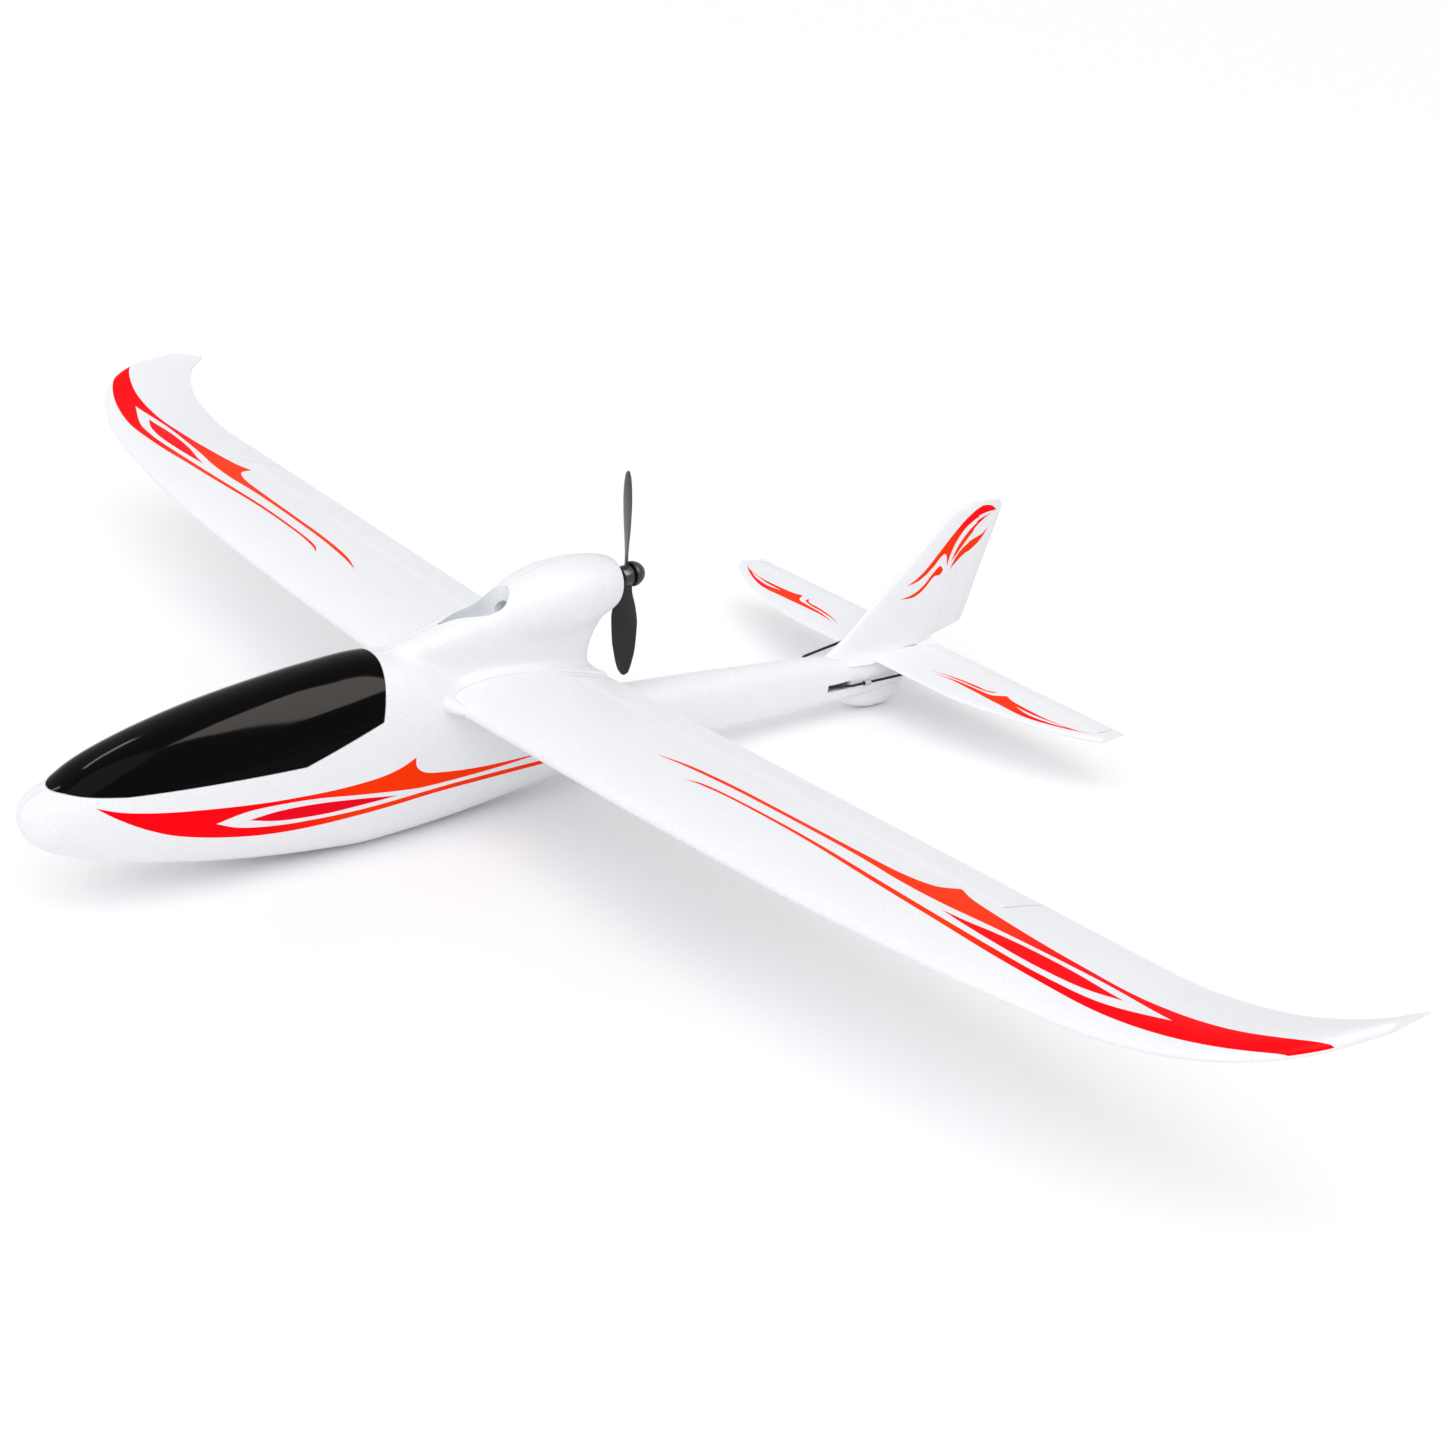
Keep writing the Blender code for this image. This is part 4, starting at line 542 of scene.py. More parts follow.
boomStart, tailStation = 279.0, 436.0
boomRun = tailStation + 4.0 - boomStart
bodyRows = [  # station, lowest height, top height, half width, height of the widest point
    (0.4, 36.5, 43.0, 3.2, 40.0), (3.0, 31.0, 46.5, 7.6, 39.5), (8.0, 26.5, 49.2, 11.2, 39.0),
    (14.0, 23.4, 51.5, 13.6, 38.5), (22.0, 20.2, 56.5, 15.8, 38.5), (31.0, 17.0, 60.5, 17.8, 38.0),
    (50.0, 12.4, 66.5, 20.6, 37.5), (70.0, 8.0, 71.3, 22.6, 37.0), (96.0, 3.6, 75.8, 24.0, 36.5),
    (120.0, 0.6, 79.0, 24.4, 36.0), (140.0, -1.2, 80.6, 24.0, 36.0), (158.0, -1.0, 79.0, 22.8, 36.5),
    (176.0, -0.2, 72.0, 21.4, 37.5), (198.0, 1.6, 62.5, 19.6, 37.0), (222.0, 4.4, 53.5, 17.4, 34.0),
    (250.0, 7.4, 45.5, 15.0, 29.0), (boomStart, 8.8, 41.0, 12.8, 25.5),
    (boomStart + boomRun * 0.25, 9.0, 39.0, 11.0, 24.0), (boomStart + boomRun * 0.5, 8.6, 36.4, 9.8, 22.5),
    (boomStart + boomRun * 0.75, 8.2, 33.6, 9.0, 21.0), (boomStart + boomRun * 0.9, 8.0, 31.4, 8.6, 20.0),
    (boomStart + boomRun, 8.0, 31.2, 8.2, 19.6), (tailStation + 20, 9.0, 31.0, 7.4, 20.0),
    (tailStation + 28, 13.0, 30.0, 6.4, 21.5),
]


def bodyRing(station, inset=0.0, count=88, power=2.25):
    low, top, half, wide = smooth(bodyRows, station)
    low, top, half = low + inset, top - inset, half - inset
    ring = []
    for i in range(count):
        angle = 2 * math.pi * i / count
        c, s = math.cos(angle), math.sin(angle)
        reach = (top - wide) if s > 0 else (wide - low)
        x = half * math.copysign(abs(c) ** (2 / power), c)
        ring.append(at(x, station, wide + reach * math.copysign(abs(s) ** (2 / power), s)))
    return ring


def bodySolid(name, front, rear, inset=0.0, boomInset=None, count=110):
    rings = []
    for i in range(count + 1):
        station = front + (rear - front) * (i / count) ** 1.3
        share = min(1.0, max(0.0, (station - 230) / 40.0))
        depth = inset if boomInset is None else inset + (boomInset - inset) * share
        rings.append(bodyRing(station, depth))
    return loft(name, rings)


hub = {"station": 272.0, "height": 94.5, "tilt": math.radians(6.0)}
motorBay = {"front": 29.6, "rear": -12.0, "radius": 9.2, "duct": 4.6, "ductEnd": 31.0}  # ahead of the hub
magnet = {"height": 70.0, "front": 136.0, "rear": 143.9, "hatchFront": 136.8, "radius": 3.3}
rodPorts = [  # corners of the slots that the tail rods leave through
    ((3.0, tailStation - 32, 17.2), (14, tailStation - 16, 21.2)),
    ((-14, tailStation - 47, 25.2), (-2.4, tailStation - 26.5, 36)),
]
thrust = Vector((0, math.cos(hub["tilt"]), math.sin(hub["tilt"])))


def motorAxis(distance):  # measured forward of the propeller's hub
    return at(0, hub["station"], hub["height"]) - thrust * distance * mm


podRows = [  # station, depth below the hub, radius
    (183, 13.0, 3.0), (189, 12.0, 6.2), (198, 9.9, 9.0), (208, 7.5, 12.2), (218, 5.5, 14.8),
    (229, 4.3, 16.4), (240, 3.3, 16.3), (250, 2.3, 15.0), (257, 1.6, 13.4),
    (262, 1.1, 11.8), (264, 0.8, 10.9),
]
neckRows = [  # height, front station, rear station, half width
    (40, 148, 257, 14.0), (52, 148, 254.5, 12.5), (60, 148, 253, 11.0), (68, 148, 254, 10.2),
    (75, 150, 257, 10.1), (80, 153, 260, 10.4), (84, 164, 261, 10.2),
    (87, 174, 261, 9.4), (90, 184, 260, 8.2),
]


def podSolid():
    rings = []
    for i in range(41):
        station = 183 + 81 * i / 40
        depth, radius = smooth(podRows, station)
        angles = [2 * math.pi * k / 64 for k in range(64)]
        z = hub["height"] - depth
        rings.append([at(radius * math.cos(a), station, z + radius * math.sin(a)) for a in angles])
    return loft("pod", rings)


def neckSolid():
    rings = []
    for i in range(41):
        z = 40 + 50 * i / 40
        front, rear, half = smooth(neckRows, z)
        ring = []
        for k in range(72):
            c, s = math.cos(2 * math.pi * k / 72), math.sin(2 * math.pi * k / 72)
            station = (front + rear) / 2 + (rear - front) / 2 * math.copysign(abs(c) ** 0.9, c)
            ring.append(at(half * math.copysign(abs(s) ** 0.62, s), station, z))
        rings.append(ring)
    return loft("neck", rings)


intake = {"front": 175.0, "rear": 208.0, "half": 7.0, "floor": 81.5}
canopy = {"front": 14.0, "rear": 140.0, "sill": 48.5, "wall": 2.2}


def intakeCut():
    half, front, rear = intake["half"], intake["front"], intake["rear"]
    outline = []
    for i in range(17):
        angle = -math.pi / 2 + math.pi * i / 16
        outline.append((half * math.sin(angle), rear - half + half * math.cos(angle)))
    for share, wide in ((0.62, 0.86), (0.45, 0.64), (0.25, 0.36), (0.08, 0.14), (0.0, 0.1)):
        outline.append((half * wide, front + (rear - front) * share))
    for share, wide in ((0.0, 0.1), (0.08, 0.14), (0.25, 0.36), (0.45, 0.64), (0.62, 0.86)):
        outline.append((-half * wide, front + (rear - front) * share))
    return loft("intake", [[at(x, station, z) for x, station in outline] for z in (intake["floor"], 120)])


def canopyBlock(name, trim):
    rear, sill = canopy["rear"] - trim, canopy["sill"] + trim
    outline = [
        (canopy["front"] - 8, sill + 1.5), (canopy["front"] + trim, sill + 1.5), (canopy["front"] + 20, sill),
        (rear - 37, sill), (rear - 2, sill + 11), (rear + 8, 96), (canopy["front"] - 8, 96),
    ]
    return loft(name, [[at(x, station, z) for station, z in outline] for x in (-40, 40)])


tail = {"height": 29.0, "half": 128.0, "chord": 48.5, "thick": 4.4, "elevator": 13.0, "outer": 122.0}
tailRear = tailStation + tail["chord"]
elevatorHinge = tailRear - tail["elevator"]


def tailPlan(x):
    t = abs(x) / tail["half"]
    rows = [(0, 0), (0.4, 0.2), (0.7, 9.5), (0.85, 17.5), (0.94, 24.5), (1.0, 31.0)]
    return tailStation + smooth(rows, t)[0]


def tailRing(x, grow=0.0):
    lead, rear = tailPlan(x) - grow, elevatorHinge
    half = tail["thick"] / 2 * (1 - 0.35 * abs(x) / tail["half"]) + grow
    rows = [(0.0, 0.02), (0.02, 0.35), (0.12, 0.72), (0.35, 1.0), (0.7, 1.0), (1.0, min(1.0, 1.7 / half))]
    shares = [0.0, 0.006, 0.02, 0.05, 0.1, 0.18, 0.28, 0.4, 0.55, 0.7, 0.85, 1.0]
    top = [(lead + share * (rear - lead), half * smooth(rows, share)[0]) for share in shares]
    ring = [at(x, station, tail["height"] + rise) for station, rise in reversed(top)]
    return ring + [at(x, station, tail["height"] - rise) for station, rise in top]


def softened(obj, voxel, rounds, zone):
    # one even skin, relaxed a little everywhere and more where zone() says that foam blends into foam
    step = obj.modifiers.new("skin", "REMESH")
    step.mode = "VOXEL"
    step.voxel_size = voxel * mm
    settle(obj)
    group = obj.vertex_groups.new(name="blend")
    for vertex in obj.data.vertices:
        group.add([vertex.index], zone(vertex.co), "REPLACE")
    even = obj.modifiers.new("even", "SMOOTH")
    even.factor = 0.5
    even.iterations = 5
    deep = obj.modifiers.new("deep", "SMOOTH")
    deep.factor = 0.5
    deep.iterations = rounds
    deep.vertex_group = "blend"
    settle(obj)
    obj.vertex_groups.clear()
    return obj


blend = {  # where foam runs into foam; each pair is where a ramp starts and how far it takes
    "voxel": 0.75, "rounds": 110, "front": (138, 14), "rear": (290, -16), "up": (36, 12),
    "wingTop": (66, -3), "wingOut": (11.5, 2), "wingHold": 0.85,
}


def ramp(value, start, reach):
    return min(1.0, max(0.0, (value - start) / reach))


def blendZone(point):
    station = (point.y - noseY) / mm + noseStation
    z = point.z / mm
    along = ramp(station, *blend["front"]) * ramp(station, *blend["rear"])
    nearWing = ramp(z, *blend["wingTop"]) * ramp(abs(point.x) / mm, *blend["wingOut"])
    return along * ramp(z, *blend["up"]) * (1 - blend["wingHold"] * nearWing)


body = bodySolid("body", 0.4, tailStation + 28)
edge = wing["rootX"] - gap
saddle = loft("saddle", [wingRing(edge, -1, 1.2), wingRing(0.01, 1, 1.2), wingRing(edge, 1, 1.2)])
carve(body, [saddle, neckSolid(), podSolid()], "UNION")
ductStart = at(0, intake["rear"] - 6, intake["floor"] + 5.4)
softened(body, blend["voxel"], blend["rounds"], blendZone)
carve(body, [intakeCut()])
carve(body, [rod("duct", ductStart, motorAxis(motorBay["ductEnd"]), motorBay["duct"])])
bay = rod("bay", motorAxis(motorBay["front"]), motorAxis(motorBay["rear"]), motorBay["radius"], 64)
carve(body, [bay])
cavity = bodySolid("cavity", 24, boomStart + boomRun * 0.93, 3.0, 1.9)
carve(cavity, [span("solid", (-40, 150.5, 52), (40, 300, 120)),
               span("arch", (-40, 139.6, 58), (40, 151.3, 120))])
carve(body, [cavity, canopyBlock("block", 0.0), span("ground", (-60, 60, -20), (60, 260, 0))])
for mirror in (1, -1):
    carve(body, [wingSolid("seat", mirror, edge, 60, 0.1, 12)])
magnetEnds = [at(0, station, magnet["height"]) for station in (magnet["front"], magnet["rear"])]
carve(body, [rod("magnet", *magnetEnds, magnet["radius"])])
carve(body, [loft("seat", [tailRing(x, 0.12) for x in (-24, -12, 0, 12, 24)])])
carve(body, [span("port", low, high) for low, high in rodPorts])

sideFlash = [[  # station and height
    [(22, 46), (32, 43.2), (46, 41), (62, 39.4), (83, 37.7), (100, 36.9), (117, 36.6), (134, 37.2),
     (145, 39), (153, 42)],
    [(153, 42), (153.6, 37.8), (158, 34.2), (167, 32), (183, 29.6), (200, 28.2), (224, 27)],
    [(224, 27), (200, 26.4), (178, 26.6), (158, 27.4), (146, 29)],
    [(146, 29), (127, 31.8), (109, 34.4), (92, 35.5), (78, 35.2), (66, 32.6)],
    [(66, 32.6), (76, 28.8), (92, 26.3), (110, 25.2), (128, 24.8), (148, 25), (168, 25), (190, 24.4),
     (226, 23)],
    [(226, 23), (229, 21), (200, 21.8), (167, 22.8), (147, 22.6), (128, 22.2), (104, 22), (85, 23.2),
     (68, 26), (52, 30), (40, 35), (30, 40.6), (22, 46)],
], [
    [(79, 31.4), (92, 32.8), (109, 32.2), (127, 30), (145, 27)],
    [(145, 27), (127, 26.9), (110, 26.9), (92, 28.4), (79, 31.4)],
]]
setFoam(body)
for side, mirror in (("left", 1), ("right", -1)):
    half = copyOf(body, "fuselageHalf-" + side)
    carve(half, [span("away", (-mirror * 90, -30, -30), (mirror * 0.08, 600, 160))])
    setFoam(half)
    cutters = []
    for strokes in sideFlash:
        cutters.append(prism("flash", strokes, lambda s, z, end: at(mirror * (4 + 50 * end), s, z)))
    printOn(half, cutters, [sideInk, sliverInk], lambda normal: normal.x * mirror > 0.12)
    shade(half)
    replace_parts(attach(half, "airframe"), "fuselage_" + side)
bpy.data.objects.remove(body, do_unlink=True)

hatch = bodySolid("canopyShell", 0.4, canopy["rear"] + 30)
carve(hatch, [canopyBlock("block", gap)], "INTERSECT")
carve(hatch, [bodySolid("inside", canopy["front"] + 4, canopy["rear"] - 6, canopy["wall"])])
magnetEnds = [at(0, station, magnet["height"]) for station in (magnet["hatchFront"], 152)]
carve(hatch, [rod("magnet", *magnetEnds, magnet["radius"])])
hatch.data.materials.clear()
hatch.data.materials.append(materials["gloss black polycarbonate"])
shade(hatch, 30)
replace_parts(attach(hatch, "canopy"), "canopy_hatch")
print("fuselage and canopy made")


# the tailplane, elevator, fin, rudder and skid

tailFlash = [[
    [(36, 449), (48, 453), (60, 454.5), (68, 456), (72.5, 462.5)],
    [(72.5, 462.5), (80, 460), (100, 459.5), (115, 463), (124, 469)],
    [(124, 469), (114, 461), (102, 454.6), (91, 451), (76, 450.6), (60, 451), (47, 451), (36, 449)],
], [
    [(32, 450), (44, 455), (56, 457.6), (63, 458.3), (67, 462)],
    [(67, 462), (66, 458.4), (60, 456), (50, 454.8), (41, 453), (32, 450)],
]]
tailHole = [
    [(83, 456.6), (94, 457), (104, 459.2), (112, 461.4)],
    [(112, 461.4), (103, 457), (92, 454.8), (83, 456.6)],
]


xs = [tail["half"] * math.sin(math.pi / 2 * i / 40) for i in range(-40, 41)]
plane = loft("tailplaneFoam", [tailRing(x) for x in xs])
tips = []
for mirror in (1, -1):
    rings = []
    for x in (tail["outer"] + runGap, tail["half"] - 0.35):
        corners = [(elevatorHinge - 3, 1.2), (tailRear, 0.5), (tailRear, -0.5), (elevatorHinge - 3, -1.2)]
        rings.append([at(mirror * x, station, tail["height"] + rise) for station, rise in corners])
    tips.append(loft("tip", rings))
carve(plane, tips, "UNION")
coveReach = tail["outer"] + runGap
coveEnds = [at(x, elevatorHinge, tail["height"]) for x in (-coveReach, coveReach)]
carve(plane, [rod("cove", *coveEnds, 1.7 + runGap)])
setFoam(plane)
cutters = []
for mirror in (1, -1):
    main = prism("flash", tailFlash[0], lambda x, s, end: at(mirror * x, s, 20 + 20 * end))
    carve(main, [prism("hole", tailHole, lambda x, s, end: at(mirror * x, s, 15 + 30 * end))])
    cutters += [main, prism("flash", tailFlash[1], lambda x, s, end: at(mirror * x, s, 20 + 20 * end))]
printOn(plane, cutters, [tailInk], inkUp)
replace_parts(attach(shade(plane), "airframe"), "tailplane")


def elevatorSide(name, mirror):
    rings = []
    for i in range(13):
        x = 6.0 + (tail["outer"] - 6.0) * i / 12
        half = 1.7 - 0.35 * i / 12
        ring = []
        for k in range(13):
            angle = math.pi / 2 + math.pi * k / 12
            z = tail["height"] + half * math.sin(angle)
            ring.append(at(mirror * x, elevatorHinge + half * math.cos(angle), z))
        for back, rise in ((0.4, -0.45), (0.0, -0.3), (0.0, 0.3), (0.4, 0.45)):
            ring.append(at(mirror * x, tailRear - back, tail["height"] + rise))
        rings.append(ring)
    return loft(name, rings)


elevator = elevatorSide("elevatorFoam", 1)
spar = rod("spar", at(-10, elevatorHinge, tail["height"]), at(10, elevatorHinge, tail["height"]), 1.1, 24)
carve(elevator, [elevatorSide("half", -1), spar], "UNION")
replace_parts(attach(shade(setFoam(elevator)), "elevator_surface"), "elevator")

rake = Vector((0, 0.3406, 1)).normalized()
fin = {"foot": 31.5, "rudderFoot": 33.0, "top": 102.0, "half": 1.9, "flareStep": 0.9, "flareForward": 0.8,
       "flareOut": 0.9}
finRows = [  # share of the height, leading edge behind the tailplane's, half thickness
    (0.0, -31.0, 5.4), (0.035, -26.5, 4.2), (0.12, -17.5, 3.4), (0.3, -3.0, 3.0), (0.55, 17.0, 2.6),
    (0.8, 36.6, 2.2), (0.93, 46.4, 1.9), (0.97, 52.0, 1.5), (1.0, 61.0, 1.0),
]
rudderRows = [(0.0, 3.2), (0.07, 20.5), (0.45, 18.5), (0.9, 16.5), (0.97, 15.0), (1.0, 11.5)]
finFlash = [[  # station and height
    [(519, 96.5), (513, 99.6), (504, 99.6), (495, 95), (486, 87.4), (478, 79.4), (470, 71.5), (464, 67),
     (457, 63.4)],
    [(457, 63.4), (466, 65.8), (474, 71), (479.5, 76.4), (483, 77), (485, 70.5)],
    [(485, 70.5), (486.4, 76.6), (489.6, 83.4), (495, 89.6), (503, 94.2), (511, 96), (519, 96.5)],
], [
    [(487.4, 72.4), (491, 80), (497, 87), (505, 92.4), (515, 95.4)],
    [(515, 95.4), (507, 91.2), (500, 85.6), (494, 79.4), (487.4, 72.4)],
], [
    [(453, 57), (462, 58.6), (469, 62.2), (474.5, 67.6), (479.5, 71.4), (482.6, 69)],
    [(482.6, 69), (480.6, 66.6), (476, 66), (470, 60.4), (463, 57), (453, 57)],
], [
    [(487.4, 68.4), (491.5, 75.4), (497, 80), (504, 82.6), (510, 84.4), (515.4, 88)],
    [(515.4, 88), (509, 80.6), (502, 76.4), (496, 74.6), (487.4, 68.4)],
]]


def rudderStation(z):
    return tailRear + (z - fin["rudderFoot"]) * 0.3406


rings = []
for i in range(-4, 49):  # the rings below the foot flare out over the boom
    share = (max(i, 0) / 48) ** 0.85
    drop = max(-i, 0) * fin["flareStep"]
    z = fin["foot"] + share * (fin["top"] - fin["foot"]) - drop
    front, half = smooth(finRows, share)
    front, half = front - drop * fin["flareForward"], half + drop * fin["flareOut"]
    lead, rear = tailStation + front, rudderStation(z)
    tailShare = min(1.0, fin["half"] / half)
    rows = [(0.0, 0.02), (0.02, 0.32), (0.14, 0.72), (0.4, 1.0), (0.75, 1.0), (1.0, tailShare)]
    shares = [0.0, 0.006, 0.02, 0.06, 0.12, 0.22, 0.34, 0.5, 0.65, 0.8, 0.9, 1.0]
    wide = [(lead + part * (rear - lead), half * smooth(rows, part)[0]) for part in shares]
    ring = [at(x, station, z) for station, x in reversed(wide)]
    rings.append(ring + [at(-x, station, z) for station, x in wide])
finFoam = loft("finFoam", rings)
footPoint, topPoint = at(0, rudderStation(33), 33), at(0, rudderStation(102), 102)
carve(finFoam, [rod("cove", footPoint - rake * 14 * mm, topPoint + rake * 6 * mm, fin["half"] + runGap)])
boomSkin = bodySolid("boomSkin", tailStation - 70, tailStation + 28, -0.05, None, 30)
tailSkin = loft("tailSkin", [tailRing(x, 0.05) for x in (-24, -12, 0, 12, 24)])
carve(finFoam, [tailSkin, span("behind", (-20, tailStation + 24, 20), (20, tailStation + 70, fin["foot"]))])
carve(finFoam, [boomSkin], keepCutter=True)
rings = []
for i in range(33):
    share = i / 32
    z = fin["rudderFoot"] + share * (fin["top"] - fin["rudderFoot"])
    half = fin["half"] * (1 - 0.45 * share)
    rear = rudderStation(z) + smooth(rudderRows, share)[0]
    ring = []
    for k in range(13):
        angle = math.pi / 2 + math.pi * k / 12
        ring.append(at(half * math.sin(angle), rudderStation(z) + half * math.cos(angle), z))
    edge = ((-0.5, 0.3), (-0.3, 0.0), (0.3, 0.0), (0.5, 0.3))
    rings.append(ring + [at(x, rear - back, z) for x, back in edge])
rudder = loft("rudderFoam", rings)
for obj, node, rider in ((finFoam, "fin", "airframe"), (rudder, "rudder", "rudder_surface")):
    setFoam(obj)
    cutters = [prism("flash", strokes, lambda s, z, end: at(-8 + 16 * end, s, z)) for strokes in finFlash]
    printOn(obj, cutters, [finInk], lambda normal: abs(normal.x) > 0.5)
    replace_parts(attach(shade(obj), rider), node)

skidRows = [  # station behind the tailplane's leading edge, lowest height, half width
    (-13, 6.6, 2.0), (-8, 3.9, 4.2), (0, 1.4, 5.6), (8, 0.0, 6.2), (15, 0.0, 6.2), (22, 1.4, 5.6),
    (28, 6.0, 4.0), (30, 9.0, 2.2),
]
rings = []
for i in range(37):
    back = -13 + 43 * i / 36
    low, half = smooth(skidRows, back)
    ring = []
    for k in range(33):
        angle = math.pi * k / 32
        x, drop = -math.cos(angle), math.sin(angle) ** 0.7
        wide = half * math.copysign(abs(x) ** 0.8, x)
        ring.append(at(wide, tailStation + back, 12.0 - (12.0 - low) * drop))
    rings.append([at(-half, tailStation + back, 14)] + ring + [at(half, tailStation + back, 14)])
skid = carve(loft("skidFoam", rings), [boomSkin])
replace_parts(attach(shade(setFoam(skid)), "airframe"), "tail_skid")
print("tail made")


# the propeller and its spinner

prop = {
    "radius": 48.0, "bore": 1.3, "rootDepth": 1.9,
    "depthLoss": 1.1,  # what a blade's thickness loses from root to tip
    "hubFront": 3.6, "hub": [(0, 3.9), (0.5, 4.5), (1.0, 4.6), (5.0, 4.6), (5.6, 4.4), (6.0, 3.9)],
}
bladeRows = [  # share of the radius, chord, twist in degrees
    (0.04, 6.0, 42), (0.15, 6.4, 40), (0.27, 9.6, 33), (0.46, 12.6, 26), (0.67, 12.0, 21), (0.85, 9.2, 17),
    (0.96, 5.8, 15), (1.0, 2.0, 14),
]
bladeRing = [(0.5, 0.0), (0.42, 0.2), (0.3, 0.4), (0.15, 0.55), (0.0, 0.62), (-0.15, 0.6), (-0.3, 0.5),
             (-0.43, 0.28), (-0.5, 0.0), (-0.43, -0.13), (-0.3, -0.22), (0.0, -0.34),
             (0.3, -0.28), (0.42, -0.14)]
across = Vector((1, 0, 0))
upright = across.cross(thrust)
propeller = turned("propellerMoulding", motorAxis(prop["hubFront"]), thrust, prop["hub"])
for pointing in (upright, -upright):
    side = pointing.cross(thrust).normalized()
    rings = []
    for i in range(40):
        share = 0.04 + 0.96 * math.sin(math.pi / 2 * i / 39)
        chord, twist = smooth(bladeRows, share)
        radius, twist = share * prop["radius"], math.radians(twist)
        flat = side * math.cos(twist) + thrust * math.sin(twist)
        thick = thrust * math.cos(twist) - side * math.sin(twist)
        depth = prop["rootDepth"] - prop["depthLoss"] * share
        rings.append([motorAxis(0) + (pointing * radius + flat * a * chord + thick * t * depth) * mm
                      for a, t in bladeRing])
    carve(propeller, [loft("blade", rings)], "UNION")
carve(propeller, [rod("bore", motorAxis(8), motorAxis(-8), prop["bore"], 24)])
propeller.data.materials.clear()
propeller.data.materials.append(materials["satin black nylon"])
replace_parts(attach(shade(propeller, 32), "rotor"), "propeller")
dome = [(0, 5.3), (0.3, 5.6), (1.2, 5.6), (2.3, 5.4), (3.2, 5.04), (4.3, 4.5), (5.2, 3.8), (6.0, 2.9),
        (6.6, 2.0), (7.0, 1.2), (7.2, 0.3)]
spinner = turned("spinnerMoulding", motorAxis(-2.7), thrust, dome)
carve(spinner, [rod("bore", motorAxis(0), motorAxis(-6.3), prop["bore"], 24)])
spinner.data.materials.clear()
spinner.data.materials.append(materials["satin black nylon"])
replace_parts(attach(shade(spinner), "rotor"), "spinner")
print("propeller made")


# the battery strap and the receiver pad

softLook = {"skin": 0.28, "rib": 1.1, "ribHeight": 0.07, "cell": 0.8, "cellHeight": 0.05}  # mm


def softTwin(node, name, relief):  # a rounded, textured copy that keeps to the solid's own place
    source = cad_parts[node]
    twin = copyOf(source, name)
    twin.parent = None
    twin.matrix_world = Matrix.Identity(4)
    twin.data.transform(source.matrix_world)
    step = twin.modifiers.new("skin", "REMESH")
    step.mode = "VOXEL"
    step.voxel_size = softLook["skin"] * mm
    even = twin.modifiers.new("even", "SMOOTH")
    even.factor = 0.5
    even.iterations = 3
    settle(twin)
    normals = [vertex.normal.copy() for vertex in twin.data.vertices]
    for vertex, normal in zip(twin.data.vertices, normals):
        vertex.co += normal * relief(vertex.co / mm) * mm
    return shade(twin, 80)


def weaveRelief(p):  # crossed ribs, low between the threads
    turn = 2 * math.pi / softLook["rib"]
    return softLook["ribHeight"] * (math.cos((p.x + p.z) * turn) * math.cos(p.y * turn) - 1)


def cellRelief(p):
    turn = 2 * math.pi / softLook["cell"]
    return softLook["cellHeight"] * (math.sin(p.x * turn) * math.sin(p.y * turn * 1.3 + p.x) - 1)


strap = softTwin("battery_strap", "strapWebbing", weaveRelief)
strap.data.materials.clear()
strap.data.materials.append(materials["woven black webbing"])
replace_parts(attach(strap, "airframe"), "battery_strap")
pad = softTwin("receiver_pad", "receiverTapePad", cellRelief)
pad.data.materials.clear()
pad.data.materials.append(materials["white closed cell foam tape"])
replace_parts(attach(pad, "airframe"), "receiver_pad")
print("strap and pad made")


# the solids that keep their own shape get their finish here

nodeFinish = {
    "satin black nylon": ["motor_mount", "elevator_horn", "rudder_horn", "aileron_horn_left",
                          "aileron_horn_right"],
    "tinted blue ABS": ["elevator_servo", "rudder_servo", "aileron_servo_left", "aileron_servo_right"],
    "natural white nylon": ["elevator_servo_arm", "rudder_servo_arm", "aileron_servo_arm_left",
                            "aileron_servo_arm_right", "battery_tray", "battery_plug",
                            "elevator_servo_cradle", "rudder_servo_cradle"],
    "bright zinc steel": ["canopy_magnet", "latch_magnet", "motor_base", "motor_shaft", "tail_screw_front",
                          "tail_screw_rear"],
    "black oxide spring wire": ["elevator_pushrod", "rudder_pushrod", "aileron_pushrod_left",
                                "aileron_pushrod_right"],
    "turned aluminium": ["motor_bell", "pushrod_collar"],
    "pultruded carbon tube": ["wing_joiner", "wing_pin_left", "wing_pin_right"],
    "blue shrink film": ["battery_pack"],
    "woven black webbing": ["battery_strap"],
    "white closed cell foam tape": ["receiver_pad"],
    "green solder mask": ["receiver_board"],
    "black silicone sleeve": ["battery_lead", "motor_leads"],
}
for finish, names in nodeFinish.items():
    for name in names:
        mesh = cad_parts[name].data
        mesh.materials.clear()
        mesh.materials.append(materials[finish])
for name in ("fuselage_left", "fuselage_right", "wing_left", "wing_right", "tailplane", "fin", "tail_skid",
             "elevator", "rudder", "aileron_left", "aileron_right"):
    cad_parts[name].data.materials.clear()
    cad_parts[name].data.materials.append(foam)
for name, finish in (("canopy_hatch", "gloss black polycarbonate"), ("propeller", "satin black nylon"),
                     ("spinner", "satin black nylon")):
    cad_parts[name].data.materials.clear()
    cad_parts[name].data.materials.append(materials[finish])
print("finishes given")


# floor, light and camera

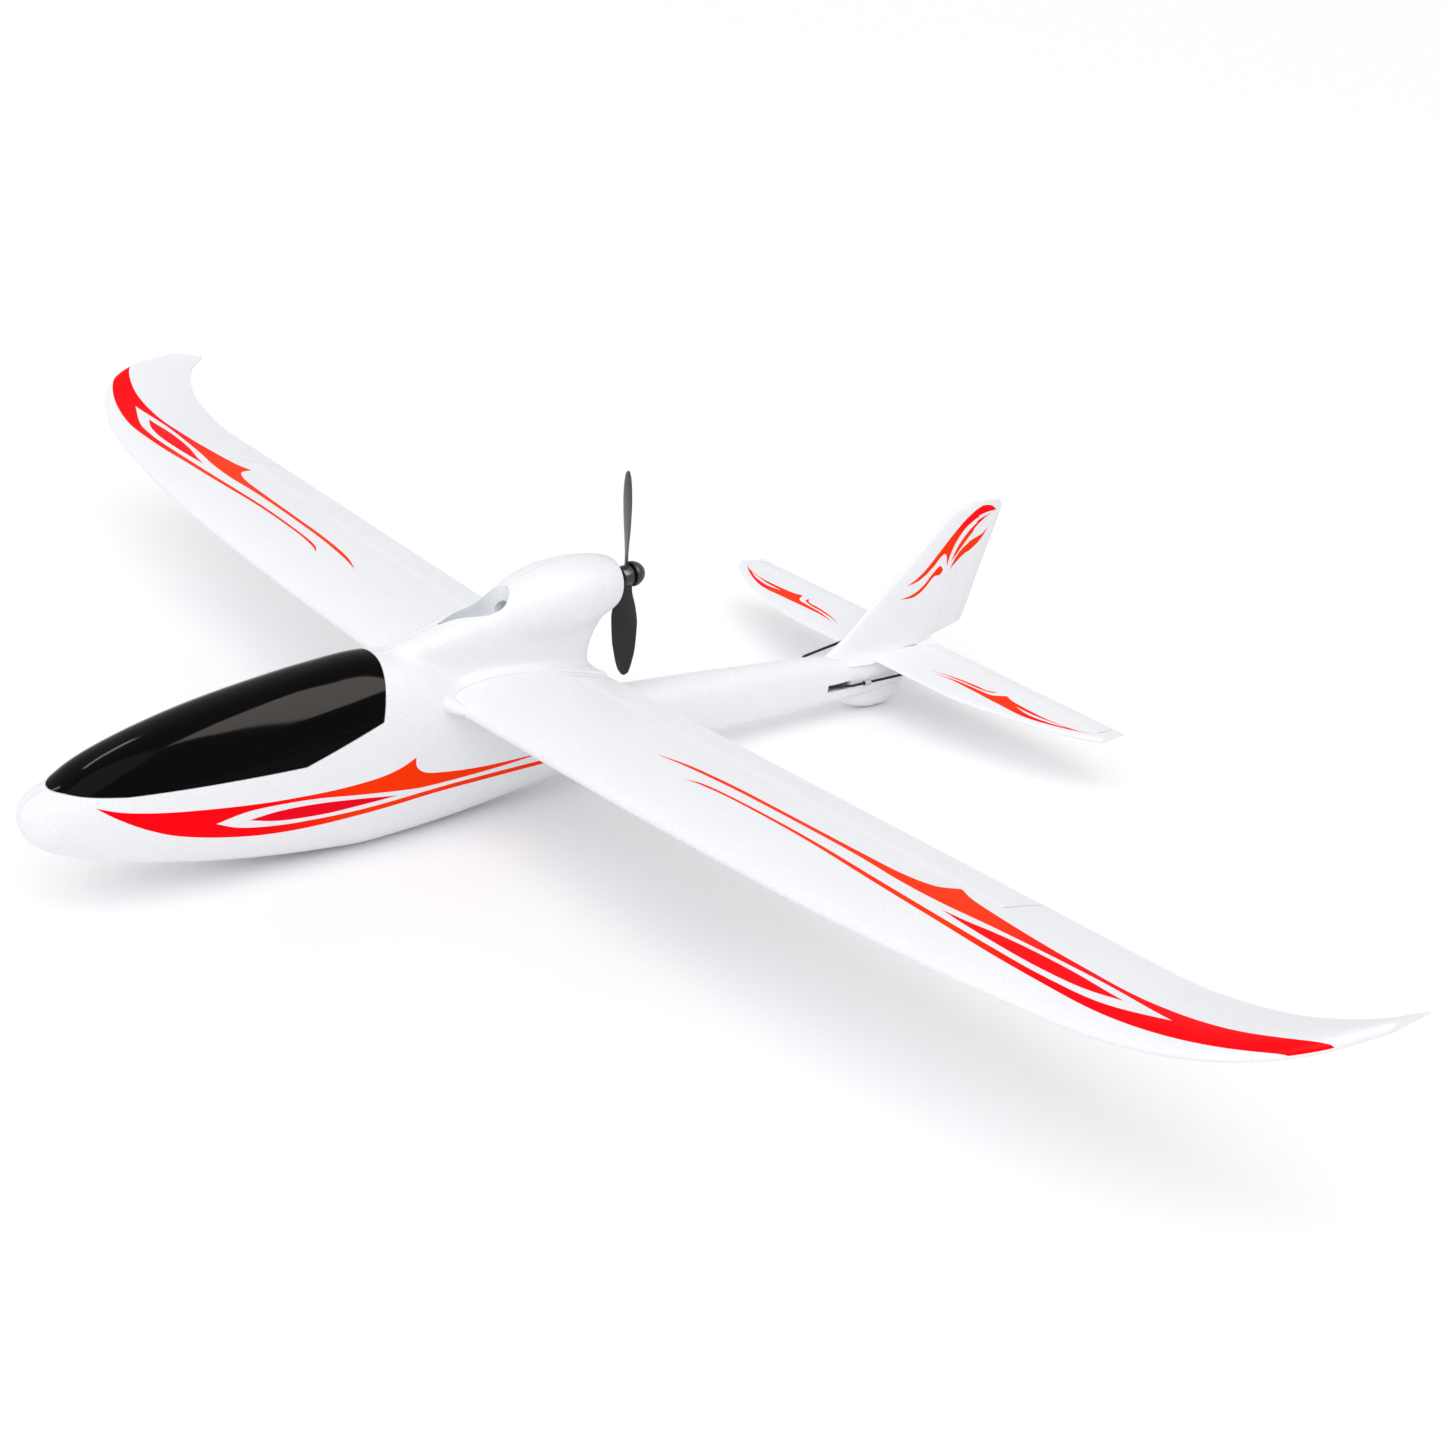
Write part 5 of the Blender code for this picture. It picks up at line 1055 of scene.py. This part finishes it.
stage = {
    "white": "#fdfdfe", "shade": "#fbfbfc", "floor": 60.0, "floorDrop": 0.0004,
    "world": 0.74, "sun": 1.15, "sunAngle": 60.0,
}
bm = bmesh.new()
bmesh.ops.create_grid(bm, x_segments=1, y_segments=1, size=stage["floor"])
floor = newObject("floor", bm)
floor.location.z = -stage["floorDrop"]
paper, tree, shader, place = startMaterial("matt white backdrop paper", {"Roughness": 0.9})
fibre = addNode(tree, "ShaderNodeTexNoise", None, {"Vector": place, "Scale": 400.0, "Detail": 2.0})
tone = addNode(tree, "ShaderNodeMix", {"data_type": "RGBA"},
               {"Factor": fibre.outputs["Fac"], "A": colour(stage["shade"]), "B": colour(stage["white"])})
tree.links.new(tone.outputs["Result"], shader.inputs["Base Color"])
floor.data.materials.append(paper)

world = bpy.data.worlds.new("studio")
bpy.context.scene.world = world
world.use_nodes = True
world.node_tree.nodes["Background"].inputs["Color"].default_value = (1.0, 1.0, 1.0, 1.0)
world.node_tree.nodes["Background"].inputs["Strength"].default_value = stage["world"]


def addLight(name, place, target, size, power):
    data = bpy.data.lights.new(name, "AREA")
    data.shape = "RECTANGLE"
    data.size, data.size_y = size
    data.energy = power
    lamp = bpy.data.objects.new(name, data)
    lamp.location = place
    lamp.rotation_euler = (Vector(target) - Vector(place)).to_track_quat("-Z", "Y").to_euler()
    bpy.context.scene.collection.objects.link(lamp)
    return lamp


sun = bpy.data.objects.new("large diffused key", bpy.data.lights.new("large diffused key", "SUN"))
sun.data.energy = stage["sun"]
sun.data.angle = math.radians(stage["sunAngle"])
sun.rotation_euler = Vector((-0.35, 0.62, -1.0)).to_track_quat("-Z", "Y").to_euler()
bpy.context.scene.collection.objects.link(sun)
for name, toward, size, power in (("long softbox over the left", (0.48, 0.24, 0.84), (0.56, 1.2), 34.0),
                                  ("narrow strip over the right", (-0.6, -0.25, 0.76), (0.4, 0.1), 2.4)):
    lamp = addLight(name, Vector(toward) * 1.4, (0, -0.17, 0.06), size, power)
    lamp.data.color = (1.0, 0.9, 0.85)
    lamp.visible_diffuse = False  # these two only draw the highlights on the gloss

view = {"place": (0.60443, -0.52072, 0.38297), "lens": 48.81}
rightward = Vector((0.659249, 0.740716, 0.129348))
downward = Vector((0.380322, -0.18008, -0.907153))
forward = rightward.cross(downward).normalized()
camera = bpy.data.objects.new("camera", bpy.data.cameras.new("camera"))
camera.data.lens = view["lens"]
camera.data.sensor_width = 36.0
camera.data.clip_start = 0.01
turn = Matrix((rightward, -downward, -forward)).transposed().to_4x4()
camera.matrix_world = Matrix.Translation(view["place"]) @ turn
bpy.context.scene.collection.objects.link(camera)
bpy.context.scene.camera = camera
bpy.context.scene.view_settings.view_transform = "Standard"

print("scene ready")
